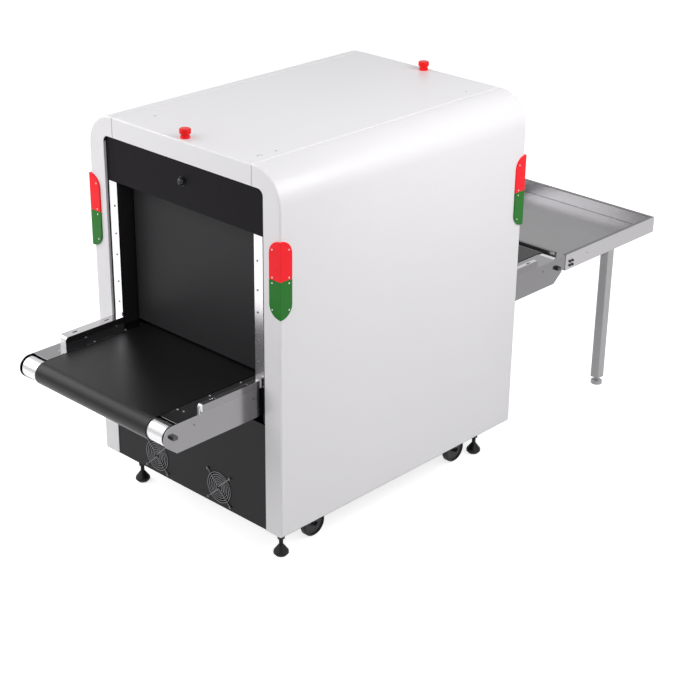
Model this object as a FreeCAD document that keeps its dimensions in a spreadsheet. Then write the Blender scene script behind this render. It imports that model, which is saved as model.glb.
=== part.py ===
import FreeCAD, Part

import math
import os

import Sketcher
from FreeCAD import Placement, Rotation, Vector

# Baggage x-ray scanner: a sheet-metal cabinet on levelling feet with a tunnel through it,
# a belt conveyor that runs through the tunnel, and an outfeed tray bolted to its far end.
# X runs along the belt from the entry to the exit, Y across it, Z up from the floor.

os.makedirs("parts", exist_ok=True)
doc = FreeCAD.newDocument("baggage_scanner")

# Driving sizes in millimetres, with degrees for angles and plain counts.
SIZES = [
    ("cabinet_length", 1150, "outside length along the belt"),
    ("cabinet_width", 875, "outside width across the belt"),
    ("cabinet_top", 1350, "top of the cabinet above the floor"),
    ("cabinet_bottom", 135, "underside of the cabinet above the floor"),
    ("shell_sheet", 3, "thickness of the folded outer sheets"),
    ("shoulder_radius", 110, "round between the top and each long side"),
    ("seam_margin", 8.5, "flat sheet between the shoulder and the top cover's seam"),
    ("seam_gap", 1.2, "open joint beside the top cover"),
    ("post_width", 72, "face of each corner post"),
    ("header_height", 68, "white band over the tunnel mouth"),
    ("mouth_radius", 22, "round in the upper corners of the tunnel mouth"),
    ("lip_depth", 20, "edge of the mouth folded back into the cabinet"),
    ("portal_setback", 6, "black mouth frame behind the white face"),
    ("portal_sheet", 3, "thickness of the black mouth frame"),
    ("hood_drop", 150, "black hood below the white band"),
    ("hood_leg", 47.5, "black mouth frame beside the tunnel"),
    ("tunnel_sheet", 3, "thickness of the tunnel lining"),
    ("strip_width", 37, "stainless jamb strip"),
    ("strip_sheet", 2, "thickness of the jamb strip"),
    ("panel_gap", 29, "air between the conveyor and the lower panel"),
    ("panel_setback", 2, "lower panel behind the white face"),
    ("panel_sheet", 3, "thickness of the lower panel"),
    ("floor_sheet", 6, "thickness of the cabinet floor plate"),
    ("belt_top", 637, "carrying face of the belt above the floor"),
    ("flange_width", 76, "side plate flange beside the belt"),
    ("belt_thick", 3, "thickness of the belt"),
    ("roller_spacing", 1864, "distance between the end roller axles"),
    ("roller_radius", 34.7, "outside radius of an end roller"),
    ("roller_wall", 4, "wall of the roller tube"),
    ("roller_cap", 12, "thickness of the roller end cap"),
    ("roller_gap", 8, "air between a roller end and the side plate"),
    ("belt_fit", 0.3, "clearance between the roller and the belt"),
    ("axle_radius", 10, "radius of the fixed roller axle"),
    ("axle_fit", 0.06, "radial running clearance on an axle"),
    ("axle_stub", 12, "axle end proud of the side plate"),
    ("axle_flat", 6, "half height of the flatted axle end"),
    ("plate_margin", 17.5, "air between a side plate and the edge of a corner post"),
    ("plate_sheet", 2, "thickness of the conveyor side plates"),
    ("plate_drop", 97, "side plate below the belt top"),
    ("flange_step", 0.5, "side plate flange below the belt top"),
    ("flange_end", 18, "flange ends this far inboard of the axle"),
    ("flange_gap", 4, "air between the belt edge and the flange"),
    ("nose_heel", 14, "lower nose corner inboard of the axle"),
    ("nose_turn", 38.4, "degrees of the nose past its lowest point"),
    ("rail_setback", 113, "outer end of a rail inboard of the axle"),
    ("rail_end_gap", 4, "air between a rail and the cabinet face"),
    ("near_rail_width", 18, "width of a near side rail"),
    ("near_rail_height", 26, "height of a near side rail"),
    ("far_rail_width", 38, "width of a far side rail"),
    ("far_rail_height", 36, "height of a far side rail"),
    ("far_rail_inset", 10, "far side rail inside the plate's outer face"),
    ("rail_sheet", 2, "thickness of a side rail"),
    ("rail_nose", 12, "round at the outer end of a rail"),
    ("rail_slot_end", 45, "second slot from the inner end of a rail"),
    ("rail_slot_start", 43, "first slot from the outer end of a rail"),
    ("rail_slot_length", 20, "length of a slot on a rail"),
    ("rail_slot_width", 6, "width of a slot on a rail"),
    ("bed_end_gap", 18, "air between the slider bed and a roller"),
    ("bed_margin", 5, "slider bed narrower than the belt on each side"),
    ("bed_sheet", 3, "thickness of the slider bed"),
    ("bed_lip", 20, "downward lip of the slider bed"),
    ("cross_tube", 20, "section of the conveyor cross tubes"),
    ("cross_tube_count", 4, "conveyor cross tubes"),
    ("cross_tube_inset", 122, "outermost cross tube inboard of the axle"),
    ("curtain_setback", 70, "curtain rod behind the cabinet face"),
    ("curtain_rod_radius", 4, "radius of the curtain rod"),
    ("curtain_rod_drop", 13, "curtain rod below the tunnel roof"),
    ("curtain_hem", 7.5, "radius of the curtain's hem"),
    ("curtain_thick", 3, "thickness of the lead rubber"),
    ("curtain_side_gap", 8, "air between the curtain and the lining"),
    ("curtain_floor_gap", 6, "air between the curtain and the belt"),
    ("dome_radius", 13, "camera dome on the hood"),
    ("dome_lift", 84, "dome centre above the hood's lower edge"),
    ("dome_base", 2.5, "bezel thickness of the dome"),
    ("fan_size", 120, "side of the square fan housing"),
    ("fan_screw_inset", 7.5, "fan screw from the housing's sides"),
    ("fan_rim", 3, "thinnest wall between the duct and the housing's side"),
    ("fan_depth", 38, "depth of the fan housing"),
    ("fan_near", 145, "fan centre from the middle, near side"),
    ("fan_far", 163, "fan centre from the middle, far side"),
    ("fan_floor_gap", 2, "air between a fan housing and the floor plate"),
    ("fan_wall", 3, "thickness of a fan's moulded walls and arms"),
    ("fan_corner", 6, "round at the corners of a fan housing"),
    ("fan_arm", 5, "width of the arms that hold a fan's motor"),
    ("guard_wire", 1.8, "wire of the fan guard"),
    ("guard_rings", 6, "rings of the fan guard"),
    ("guard_ring_pitch", 8, "distance between the guard's rings"),
    ("guard_margin", 3, "outer guard ring inside the duct"),
    ("guard_vee", 4, "each bent wire's corner above or below the middle"),
    ("guard_ear", 4.5, "radius of a guard's screw ear"),
    ("rotor_tip_gap", 5.2, "air round the fan blades"),
    ("rotor_hub", 20, "radius of the fan hub"),
    ("rotor_width", 22, "width of the fan rotor"),
    ("rotor_blades", 7, "blades of the fan"),
    ("blade_pitch", 32, "angle of a blade to the fan's plane"),
    ("blade_thick", 2.2, "thickness of a fan blade"),
    ("rotor_pin", 3, "radius of the fan's bearing pin"),
    ("rotor_front", 3, "closed front of the fan hub"),
    ("rotor_play", 1, "air between the pin and the closed front"),
    ("rotor_fit", 0.05, "radial running clearance of the rotor"),
    ("lens_reach", 44.5, "half of the unfolded width of a corner lens"),
    ("lens_drop", 210, "top of the red lens below the cabinet's top"),
    ("red_height", 126, "height of the red lens"),
    ("green_height", 123, "height of the green lens"),
    ("lens_thick", 5, "lens proud of the cabinet"),
    ("lens_gap", 0.4, "open joint between the two lenses"),
    ("stop_inset", 27, "stop button from the cabinet's end"),
    ("stop_radius", 18.5, "radius of the stop button's head"),
    ("stop_height", 31, "top of the stop button above the cover"),
    ("stop_gap", 5.5, "air under the stop button's head"),
    ("stop_collar_wall", 2.42, "wall of the stop button's collar"),
    ("stop_collar_height", 8, "height of the stop button's collar"),
    ("stop_stem", 13, "radius of the stop button's stem"),
    ("stem_fit", 0.08, "radial clearance of the stem in its collar"),
    ("stop_skirt", 1.85, "bevel under the stop button's head"),
    ("stop_edge", 3, "height of the bevel under the head"),
    ("stop_crown", 4, "height of the head's rounded crown"),
    ("stop_collar_bevel", 1, "bevel on the collar's upper edge"),
    ("foot_inset_x", 84, "levelling foot from the cabinet's end"),
    ("foot_inset_y", 90, "levelling foot from the cabinet's side"),
    ("foot_radius", 26, "radius of a levelling foot"),
    ("foot_height", 40, "height of a levelling foot's bell"),
    ("foot_sole_inset", 7.28, "flat sole of a foot inside its edge"),
    ("foot_edge_low", 8.8, "widest part of a foot above the floor"),
    ("foot_edge_high", 16.8, "start of a foot's bell above the floor"),
    ("foot_bell_inset", 1.04, "start of a foot's bell inside its edge"),
    ("foot_neck", 1, "wall of a foot's bell at its top"),
    ("stud_radius", 7, "radius of a levelling stud"),
    ("nut_height", 13, "height of a levelling nut"),
    ("nut_radius", 13, "corner radius of a levelling nut"),
    ("nut_level", 62, "underside of the locking nut above the floor"),
    ("caster_inset_x", 215, "caster swivel from the cabinet's end"),
    ("caster_inset_y", 102, "caster swivel from the cabinet's side"),
    ("caster_trail", 26, "wheel axle behind the swivel axis"),
    ("caster_crown", 20.5, "height of the fork's crown"),
    ("caster_width", 24, "width of a caster wheel"),
    ("caster_clearance", 3, "caster wheel above the floor"),
    ("caster_plate", 70, "side of the caster's mounting plate"),
    ("caster_axle", 5, "radius of a caster axle"),
    ("caster_plate_sheet", 4, "thickness of the caster's mounting plate"),
    ("caster_pin", 8, "radius of the caster's king pin"),
    ("caster_pin_grip", 4, "king pin inside the fork"),
    ("caster_fork_gap", 5.5, "air between the fork and its mounting plate"),
    ("caster_cheek", 3, "thickness of the fork's cheeks"),
    ("caster_side_gap", 5, "air between the wheel and a cheek"),
    ("caster_roof_gap", 6, "air over the wheel"),
    ("caster_hub", 12, "radius of the wheel's hub"),
    ("caster_tread", 4, "bevel at the edges of the tyre"),
    ("caster_fit", 0.06, "radial clearance at the caster's pins"),
    ("tray_gap", 15, "air between the end of the belt and the tray"),
    ("tray_length", 575, "length of the outfeed tray"),
    ("tray_drop", 2, "tray rim below the belt top"),
    ("tray_depth", 55, "tray floor below the rim"),
    ("tray_skirt", 5, "tray edge below its floor"),
    ("tray_sheet", 2, "thickness of the tray"),
    ("tray_rim", 15, "width of the tray's folded rim"),
    ("tray_notch", 45, "entry wall stops this far from the tray's sides"),
    ("tray_lip", 11, "entry lip folded back toward the belt"),
    ("tray_lip_drop", 11, "front of the entry lip"),
    ("bracket_overlap", 41, "tray bracket along the side plate"),
    ("bracket_reach", 61, "tray bracket along the tray"),
    ("leg_tube", 38, "section of a tray leg"),
    ("leg_wall", 2.5, "wall of a tray leg"),
    ("leg_round", 4, "outer corner of a tray leg"),
    ("leg_inset", 276, "tray leg centre from the tray's outer edge"),
    ("leg_foot_radius", 22, "radius of a tray leg's foot"),
    ("leg_foot_height", 12, "height of a tray leg's foot"),
    ("leg_clear", 30, "tray leg above the floor"),
    ("leg_stem_radius", 6, "radius of the screw under a tray leg"),
]

sheet = doc.addObject("Spreadsheet::Sheet", "Sizes")
for row, (alias, number, meaning) in enumerate(SIZES, start=1):
    sheet.set("A%d" % row, str(number))
    sheet.setAlias("A%d" % row, alias)
    sheet.set("B%d" % row, meaning)
doc.recompute()


def size(alias):
    """Give one driving size as a plain number."""
    return float(sheet.get(alias))


NODES = []


# The pieces are drawn about the middle of the cabinet, then moved so that the middle of the
# whole machine, from the entry end of the belt to the outer edge of the tray, stands at x = 0.
TO_MIDDLE = "-(Sizes.tray_gap + Sizes.tray_length) / 2"


def keep(item, node):
    """Place an object as one of the scanner's pieces, under the piece's own name."""
    piece = doc.addObject("Part::Compound", node)
    piece.Links = [item]
    piece.setExpression("Placement.Base.x", TO_MIDDLE)
    piece.Label = node
    NODES.append(piece)
    return piece


def origin_plane(body, role):
    """Find one of a body's own origin planes or axes."""
    for feature in body.Origin.OriginFeatures:
        if feature.Role == role:
            return feature
    raise ValueError(role)


def sketch_on(body, role, offset=None):
    """Attach a new sketch to a body's own origin plane, moved along its normal."""
    sketch = body.newObject("Sketcher::SketchObject", "Sketch")
    sketch.AttachmentSupport = [(origin_plane(body, role), "")]
    sketch.MapMode = "FlatFace"
    if offset:
        sketch.setExpression("AttachmentOffset.Base.z", offset)
    return sketch


def pin_point(sketch, geometry, place, point):
    """Tie one point of a sketch to the origin by two driven distances."""
    for kind, distance in zip(("DistanceX", "DistanceY"), point):
        if distance == "0":
            axis = -2 if kind == "DistanceX" else -1
            sketch.addConstraint(Sketcher.Constraint("PointOnObject", geometry, place, axis))
        else:
            index = sketch.addConstraint(Sketcher.Constraint(kind, -1, 1, geometry, place, 1.0))
            sketch.setExpression("Constraints[%d]" % index, distance)


def polygon(sketch, points):
    """Draw a closed outline whose corners follow the sheet."""
    count = len(points)
    first = sketch.GeometryCount
    seeds = [Vector(10 * math.cos(math.tau * k / count), 10 * math.sin(math.tau * k / count), 0)
             for k in range(count)]
    for k in range(count):
        sketch.addGeometry(Part.LineSegment(seeds[k], seeds[(k + 1) % count]), False)
    for k in range(count):
        following = first + (k + 1) % count
        sketch.addConstraint(Sketcher.Constraint("Coincident", first + k, 2, following, 1))
    for k, point in enumerate(points):
        pin_point(sketch, first + k, 1, point)


def circle(sketch, centre, radius):
    """Draw a circle whose centre and radius follow the sheet."""
    index = sketch.addGeometry(Part.Circle(Vector(1, 1, 0), Vector(0, 0, 1), 5), False)
    pin_point(sketch, index, 3, centre)
    constraint = sketch.addConstraint(Sketcher.Constraint("Radius", index, 5.0))
    sketch.setExpression("Constraints[%d]" % constraint, radius)


def pad(body, sketch, length, symmetric=False, backward=False):
    """Extrude a sketch into material."""
    feature = body.newObject("PartDesign::Pad", "Pad")
    feature.Profile = sketch
    feature.setExpression("Length", length)
    feature.SideType = "Symmetric" if symmetric else "One side"
    feature.Reversed = backward
    doc.recompute()
    return feature


def pocket(body, sketch, length=None, symmetric=False, backward=False):
    """Cut a sketch out of the material, all the way through where no length is given."""
    before = body.Shape.Volume
    feature = body.newObject("PartDesign::Pocket", "Pocket")
    feature.Profile = sketch
    feature.SideType = "Symmetric" if symmetric else "One side"
    feature.Reversed = backward
    if length:
        feature.setExpression("Length", length)
    else:
        feature.Type = "ThroughAll"
    doc.recompute()
    if body.Shape.Volume >= before:
        raise ValueError("%s: a pocket cuts nothing" % body.Name)
    return feature


def edges_where(shape, test):
    """Name the edges of a shape that pass a test."""
    return ["Edge%d" % (k + 1) for k, edge in enumerate(shape.Edges) if test(edge)]


def fillet(body, radius, test):
    """Round the edges of a body that pass a test."""
    base = body.Tip
    feature = body.newObject("PartDesign::Fillet", "Fillet")
    feature.Base = (base, edges_where(base.Shape, test))
    feature.setExpression("Radius", radius)
    doc.recompute()
    return feature


def edge_at(edge, **place):
    """Tell whether an edge lies whole at the given coordinates."""
    for axis, value in place.items():
        low = getattr(edge.BoundBox, axis.upper() + "Min")
        high = getattr(edge.BoundBox, axis.upper() + "Max")
        if abs(low - value) > 0.01 or abs(high - value) > 0.01:
            return False
    return True


def upright_edges(shape):
    """Find the edges of a shape that stand upright."""
    return [edge for edge in shape.Edges if edge_at(edge, x=edge.BoundBox.XMin, y=edge.BoundBox.YMin)]


def new_body(name):
    """Start a piece that is built by sketched features."""
    return doc.addObject("PartDesign::Body", name)


def box(name, x, y, z):
    """Make a block from (low, high) expressions along each axis."""
    block = doc.addObject("Part::Box", name)
    for axis, side, (low, high) in zip("xyz", ("Length", "Width", "Height"), (x, y, z)):
        block.setExpression("Placement.Base.%s" % axis, low)
        block.setExpression(side, "(%s) - (%s)" % (high, low))
    return block


def mirrored(name, source, normal):
    """Make the piece on the other side of the middle plane."""
    twin = doc.addObject("Part::Mirroring", name)
    twin.Source = source
    twin.Base = Vector(0, 0, 0)
    twin.Normal = normal
    return twin


def grouped(name, pieces):
    """Keep like pieces that don't touch as the solids of one node."""
    group = doc.addObject("Part::Compound", name)
    group.Links = pieces
    return group


def solid(name, shape):
    """Keep a shape that is worked out in code from the sheet."""
    feature = doc.addObject("Part::Feature", name)
    feature.Shape = shape
    return feature


ACROSS = Vector(0, 1, 0)
ALONG = Vector(1, 0, 0)

# Expressions that several pieces share.
HALF_LENGTH = "Sizes.cabinet_length / 2"
HALF_WIDTH = "Sizes.cabinet_width / 2"
MOUTH = "(Sizes.cabinet_width / 2 - Sizes.post_width)"
MOUTH_TOP = "(Sizes.cabinet_top - Sizes.header_height)"
SEAM = "(Sizes.cabinet_width / 2 - Sizes.shoulder_radius - Sizes.seam_margin)"
COVER_WIDTH = "2 * (%s - Sizes.seam_gap)" % SEAM
TUNNEL_TOP = "(Sizes.cabinet_top - Sizes.header_height - Sizes.hood_drop)"
TUNNEL_SIDE = "(%s - Sizes.hood_leg)" % MOUTH
PORTAL_FACE = "(Sizes.cabinet_length / 2 - Sizes.shell_sheet - Sizes.portal_setback)"
PORTAL_BACK = "(%s - Sizes.portal_sheet)" % PORTAL_FACE
PANEL_FACE = "(Sizes.cabinet_length / 2 - Sizes.panel_setback)"
PANEL_BACK = "(%s - Sizes.panel_sheet)" % PANEL_FACE
PANEL_TOP = "(Sizes.belt_top - Sizes.plate_drop - Sizes.panel_gap)"
FLANGE_TOP = "(Sizes.belt_top - Sizes.flange_step)"
PLATE_OUT = "(%s - Sizes.plate_margin)" % MOUTH
PLATE_IN = "(%s - Sizes.plate_sheet)" % PLATE_OUT
FLANGE_IN = "(%s - Sizes.flange_width)" % PLATE_OUT
BELT_EDGE = "(%s - Sizes.flange_gap)" % FLANGE_IN
AXLE_X = "(Sizes.roller_spacing / 2)"
BELT_INNER = "(Sizes.roller_radius + Sizes.belt_fit)"
AXLE_Z = "(Sizes.belt_top - Sizes.belt_thick - %s)" % BELT_INNER
NOSE = "(%s - %s)" % (FLANGE_TOP, AXLE_Z)
FLOOR_TOP = "(Sizes.cabinet_bottom + Sizes.floor_sheet)"
FAN_BORE = "(Sizes.fan_size / 2 - Sizes.fan_rim)"
FAN_HEIGHT = "(%s + Sizes.fan_floor_gap + Sizes.fan_size / 2)" % FLOOR_TOP
TRAY_START = "(%s + %s + Sizes.belt_thick + Sizes.tray_gap)" % (AXLE_X, BELT_INNER)
TRAY_END = "(%s + Sizes.tray_length)" % TRAY_START


# The same places as plain numbers, for the shapes that are worked out in code.
def mouth_side():
    """Give the corner post's inner edge from the middle plane."""
    return size("cabinet_width") / 2 - size("post_width")


def tunnel_side():
    """Give the tunnel's wall from the middle plane."""
    return mouth_side() - size("hood_leg")


def tunnel_top():
    """Give the tunnel's roof above the floor."""
    return size("cabinet_top") - size("header_height") - size("hood_drop")


def plate_inside():
    """Give a side plate's inner face from the middle plane."""
    return mouth_side() - size("plate_margin") - size("plate_sheet")


def belt_edge():
    """Give the belt's edge from the middle plane."""
    return plate_inside() + size("plate_sheet") - size("flange_width") - size("flange_gap")


def axle_x():
    """Give a roller axle's distance from the middle of the cabinet."""
    return size("roller_spacing") / 2


def axle_level():
    """Give a roller axle's height above the floor."""
    return size("belt_top") - size("belt_thick") - size("roller_radius") - size("belt_fit")


def tray_start():
    """Give the tray's entry edge from the middle of the cabinet."""
    belt_end = axle_x() + size("roller_radius") + size("belt_fit") + size("belt_thick")
    return belt_end + size("tray_gap")


def make_shells():
    """Fold each long side: side wall, round shoulder and two corner posts in one sheet."""
    body = new_body("near_shell_body")
    outline = sketch_on(body, "YZ_Plane")
    polygon(outline, [
        ("-%s" % HALF_WIDTH, "Sizes.cabinet_bottom"),
        ("-%s" % MOUTH, "Sizes.cabinet_bottom"),
        ("-%s" % MOUTH, MOUTH_TOP),
        ("-%s" % SEAM, MOUTH_TOP),
        ("-%s" % SEAM, "Sizes.cabinet_top"),
        ("-%s" % HALF_WIDTH, "Sizes.cabinet_top"),
    ])
    pad(body, outline, "Sizes.cabinet_length", symmetric=True)
    # The inside is hollowed between the two end plates, then both sides of the shoulder are rounded.
    hollow = sketch_on(body, "YZ_Plane")
    inner_side = "-(%s - Sizes.shell_sheet)" % HALF_WIDTH
    past_seam = "-(%s - Sizes.shell_sheet)" % SEAM
    below = "Sizes.cabinet_bottom - Sizes.shell_sheet"
    under_roof = "Sizes.cabinet_top - Sizes.shell_sheet"
    polygon(hollow, [
        (inner_side, below),
        (past_seam, below),
        (past_seam, under_roof),
        (inner_side, under_roof),
    ])
    pocket(body, hollow, "Sizes.cabinet_length - 2 * Sizes.shell_sheet", symmetric=True)
    side = -size("cabinet_width") / 2
    top = size("cabinet_top")
    sheet_inside = size("shell_sheet")
    fillet(body, "Sizes.shoulder_radius - Sizes.shell_sheet",
           lambda e: edge_at(e, y=side + sheet_inside, z=top - sheet_inside))
    fillet(body, "Sizes.shoulder_radius", lambda e: edge_at(e, y=side, z=top))
    fillet(body, "Sizes.mouth_radius",
           lambda e: edge_at(e, y=side + size("post_width"), z=top - size("header_height")))
    # The mouth's edge is folded back into the cabinet as a narrow lip on each post.
    lips = sketch_on(body, "XY_Plane", FLOOR_TOP)
    for sign in ("", "-"):
        polygon(lips, [
            ("%s(%s - Sizes.shell_sheet)" % (sign, HALF_LENGTH), "-(%s + Sizes.shell_sheet)" % MOUTH),
            ("%s(%s - Sizes.shell_sheet - Sizes.lip_depth)" % (sign, HALF_LENGTH),
             "-(%s + Sizes.shell_sheet)" % MOUTH),
            ("%s(%s - Sizes.shell_sheet - Sizes.lip_depth)" % (sign, HALF_LENGTH), "-%s" % MOUTH),
            ("%s(%s - Sizes.shell_sheet)" % (sign, HALF_LENGTH), "-%s" % MOUTH),
        ])
    pad(body, lips, "%s - Sizes.mouth_radius - %s" % (MOUTH_TOP, FLOOR_TOP))
    keep(body, "near_side_shell")
    keep(mirrored("far_shell", body, ACROSS), "far_side_shell")


def make_top_cover():
    """Fold the top cover, whose ends turn down as the white bands over the tunnel mouths."""
    body = new_body("top_cover_body")
    section = sketch_on(body, "XZ_Plane")
    outer = HALF_LENGTH
    inner = "(%s - Sizes.shell_sheet)" % HALF_LENGTH
    polygon(section, [
        ("-%s" % outer, MOUTH_TOP),
        ("-%s" % inner, MOUTH_TOP),
        ("-%s" % inner, "Sizes.cabinet_top - Sizes.shell_sheet"),
        (inner, "Sizes.cabinet_top - Sizes.shell_sheet"),
        (inner, MOUTH_TOP),
        (outer, MOUTH_TOP),
        (outer, "Sizes.cabinet_top"),
        ("-%s" % outer, "Sizes.cabinet_top"),
    ])
    pad(body, section, COVER_WIDTH, symmetric=True)
    # A narrow lip folds back under each band, and the mouth frame hangs below it.
    lips = sketch_on(body, "XZ_Plane")
    for sign in ("", "-"):
        polygon(lips, [
            ("%s%s" % (sign, inner), MOUTH_TOP),
            ("%s(%s - Sizes.lip_depth)" % (sign, inner), MOUTH_TOP),
            ("%s(%s - Sizes.lip_depth)" % (sign, inner), "%s + Sizes.shell_sheet" % MOUTH_TOP),
            ("%s%s" % (sign, inner), "%s + Sizes.shell_sheet" % MOUTH_TOP),
        ])
    pad(body, lips, COVER_WIDTH, symmetric=True)
    keep(body, "top_cover")


def make_floor_plate():
    """Close the underside with the thick plate that carries the feet and casters."""
    plate = box("floor_plate_block",
                ("-%s" % PANEL_BACK, PANEL_BACK),
                ("-(%s - Sizes.shell_sheet)" % HALF_WIDTH, "%s - Sizes.shell_sheet" % HALF_WIDTH),
                ("Sizes.cabinet_bottom", FLOOR_TOP))
    keep(plate, "floor_plate")


def make_portals():
    """Cut the black mouth frames: hood above, legs beside the tunnel, notched for the conveyor."""
    body = new_body("entry_hood_body")
    outline = sketch_on(body, "YZ_Plane", "-%s" % PORTAL_FACE)
    half = [
        (TUNNEL_SIDE, TUNNEL_TOP),
        (TUNNEL_SIDE, FLANGE_TOP),
        (PLATE_OUT, FLANGE_TOP),
        (PLATE_OUT, PANEL_TOP),
        (MOUTH, PANEL_TOP),
        (MOUTH, MOUTH_TOP),
    ]
    other = [("-%s" % y, z) for y, z in reversed(half)]
    polygon(outline, half + other)
    pad(body, outline, "Sizes.portal_sheet")
    side = mouth_side()
    top = size("cabinet_top") - size("header_height")
    fillet(body, "Sizes.mouth_radius",
           lambda e: edge_at(e, y=side, z=top) or edge_at(e, y=-side, z=top))
    keep(grouped("hood_pair", [body, mirrored("exit_hood", body, ALONG)]), "tunnel_hoods")


def make_jamb_strips():
    """Rivet a stainless strip to each jamb, from the hood down to the conveyor flange."""
    strips = []
    for end in ("-", ""):
        for side in ("-", ""):
            x = ("%s%s" % (end, PORTAL_FACE), "%s(%s + Sizes.strip_sheet)" % (end, PORTAL_FACE))
            y = ("%s%s" % (side, TUNNEL_SIDE), "%s(%s + Sizes.strip_width)" % (side, TUNNEL_SIDE))
            strips.append(box("jamb_strip_block",
                              x if end == "" else (x[1], x[0]),
                              y if side == "" else (y[1], y[0]),
                              (FLANGE_TOP, TUNNEL_TOP)))
    keep(grouped("jamb_strip_set", strips), "jamb_strips")


def make_tunnel():
    """Fold the tunnel lining: two side walls that stand on the conveyor flanges, and a roof."""
    body = new_body("tunnel_lining_body")
    section = sketch_on(body, "YZ_Plane")
    inner = TUNNEL_SIDE
    outer = "(%s + Sizes.tunnel_sheet)" % TUNNEL_SIDE
    roof = "(%s + Sizes.tunnel_sheet)" % TUNNEL_TOP
    polygon(section, [
        ("-%s" % outer, FLANGE_TOP),
        ("-%s" % inner, FLANGE_TOP),
        ("-%s" % inner, TUNNEL_TOP),
        (inner, TUNNEL_TOP),
        (inner, FLANGE_TOP),
        (outer, FLANGE_TOP),
        (outer, roof),
        ("-%s" % outer, roof),
    ])
    pad(body, section, "2 * %s" % PORTAL_BACK, symmetric=True)
    keep(body, "tunnel_lining")


def make_lower_panels():
    """Cut the black panels under the conveyor, each with two round fan openings."""
    body = new_body("entry_lower_panel_body")
    outline = sketch_on(body, "YZ_Plane", "-%s" % PANEL_FACE)
    polygon(outline, [
        ("-%s" % MOUTH, "Sizes.cabinet_bottom"),
        (MOUTH, "Sizes.cabinet_bottom"),
        (MOUTH, PANEL_TOP),
        ("-%s" % MOUTH, PANEL_TOP),
    ])
    pad(body, outline, "Sizes.panel_sheet")
    ducts = sketch_on(body, "YZ_Plane", "-%s" % PANEL_FACE)
    circle(ducts, ("-Sizes.fan_near", FAN_HEIGHT), FAN_BORE)
    circle(ducts, ("Sizes.fan_far", FAN_HEIGHT), FAN_BORE)
    pocket(body, ducts, symmetric=True)
    keep(grouped("lower_panel_pair", [body, mirrored("exit_lower_panel", body, ALONG)]),
         "lower_panels")


def fan_places():
    """Give each fan's centre, its outward direction and its place in words."""
    places = []
    for end, sign in (("entry", -1), ("exit", 1)):
        places.append((end + "_near", sign, -size("fan_near")))
        places.append((end + "_far", sign, size("fan_far")))
    return places


def fan_bore():
    """Give the radius of a fan's duct."""
    return size("fan_size") / 2 - size("fan_rim")


def place_fan(shape, sign, y, depth):
    """Turn a fan piece modelled along +X to face out of its end and move it to its centre."""
    moved = shape.copy()
    if sign < 0:
        moved = moved.mirror(Vector(0, 0, 0), ALONG)
    floor_top = size("cabinet_bottom") + size("floor_sheet")
    level = floor_top + size("fan_floor_gap") + size("fan_size") / 2
    moved.translate(Vector(sign * depth, y, level))
    return moved


def make_fan_guards():
    """Weld each fan guard: concentric wire rings on two bent wires that end at the screws."""
    wire = size("guard_wire")
    section = wire / 2
    corner = size("fan_size") / 2 - size("fan_screw_inset")
    apex = size("guard_vee")
    rings = []
    for k in range(int(size("guard_rings"))):
        middle = fan_bore() - size("guard_margin") - k * size("guard_ring_pitch")
        outer = Part.makeCylinder(middle + section, wire, Vector(0, 0, 0), ALONG)
        inner = Part.makeCylinder(middle - section, wire, Vector(0, 0, 0), ALONG)
        rings.append(outer.cut(inner))
    # One wire bends over the middle and the other under it, each from screw to screw.
    wires = []
    for side in (-1, 1):
        leg_y = corner
        leg_z = corner - apex
        length = math.hypot(leg_y, leg_z)
        for turn in (-1, 1):
            leg = Part.makeBox(wire, length + section, wire, Vector(wire, 0, -section))
            leg.rotate(Vector(0, 0, 0), ALONG, math.degrees(math.atan2(side * leg_z, turn * leg_y)))
            leg.translate(Vector(0, 0, side * apex))
            wires.append(leg)
    ears = []
    for y in (-corner, corner):
        for z in (-corner, corner):
            ears.append(Part.makeCylinder(size("guard_ear"), 2 * wire, Vector(0, y, z), ALONG))
    guard = rings[0].fuse(rings[1:] + wires + ears).removeSplitter()
    face = size("cabinet_length") / 2 - size("panel_setback")
    guards = [place_fan(guard, sign, y, face) for _, sign, y in fan_places()]
    keep(solid("fan_guard_set", Part.makeCompound(guards)), "fan_guards")


def make_fan_housings():
    """Mould each square fan housing with its duct, and the arms that hold the bearing pin."""
    half = size("fan_size") / 2
    depth = size("fan_depth")
    bore = fan_bore()
    wall = size("fan_wall")
    arm_width = size("fan_arm")
    frame = Part.makeBox(depth, 2 * half, 2 * half, Vector(-depth, -half, -half))
    corners = [e for e in frame.Edges if abs(e.BoundBox.XMax - e.BoundBox.XMin - depth) < 0.01]
    frame = frame.makeFillet(size("fan_corner"), corners)
    frame = frame.cut(Part.makeCylinder(bore, depth, Vector(-depth, 0, 0), ALONG))
    cup = Part.makeCylinder(size("rotor_hub"), wall, Vector(-depth, 0, 0), ALONG)
    pin_end = rotor_lead() + size("rotor_width") - size("rotor_front") - size("rotor_play")
    pin = Part.makeCylinder(size("rotor_pin"), pin_end + depth, Vector(-depth, 0, 0), ALONG)
    arms = []
    for k in range(4):
        arm = Part.makeBox(wall, bore + wall, arm_width, Vector(-depth, 0, -arm_width / 2))
        arm.rotate(Vector(0, 0, 0), ALONG, 90 * k)
        arms.append(arm)
    housing = frame.fuse([cup, pin] + arms).removeSplitter()
    back = size("cabinet_length") / 2 - size("panel_setback") - size("panel_sheet")
    housings = [place_fan(housing, sign, y, back) for _, sign, y in fan_places()]
    keep(solid("fan_housing_set", Part.makeCompound(housings)), "fan_housings")


def rotor_lead():
    """Give the back face of the rotor, which runs in the middle of the space over the arms."""
    return -(size("fan_depth") - size("fan_wall") + size("rotor_width")) / 2


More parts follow.
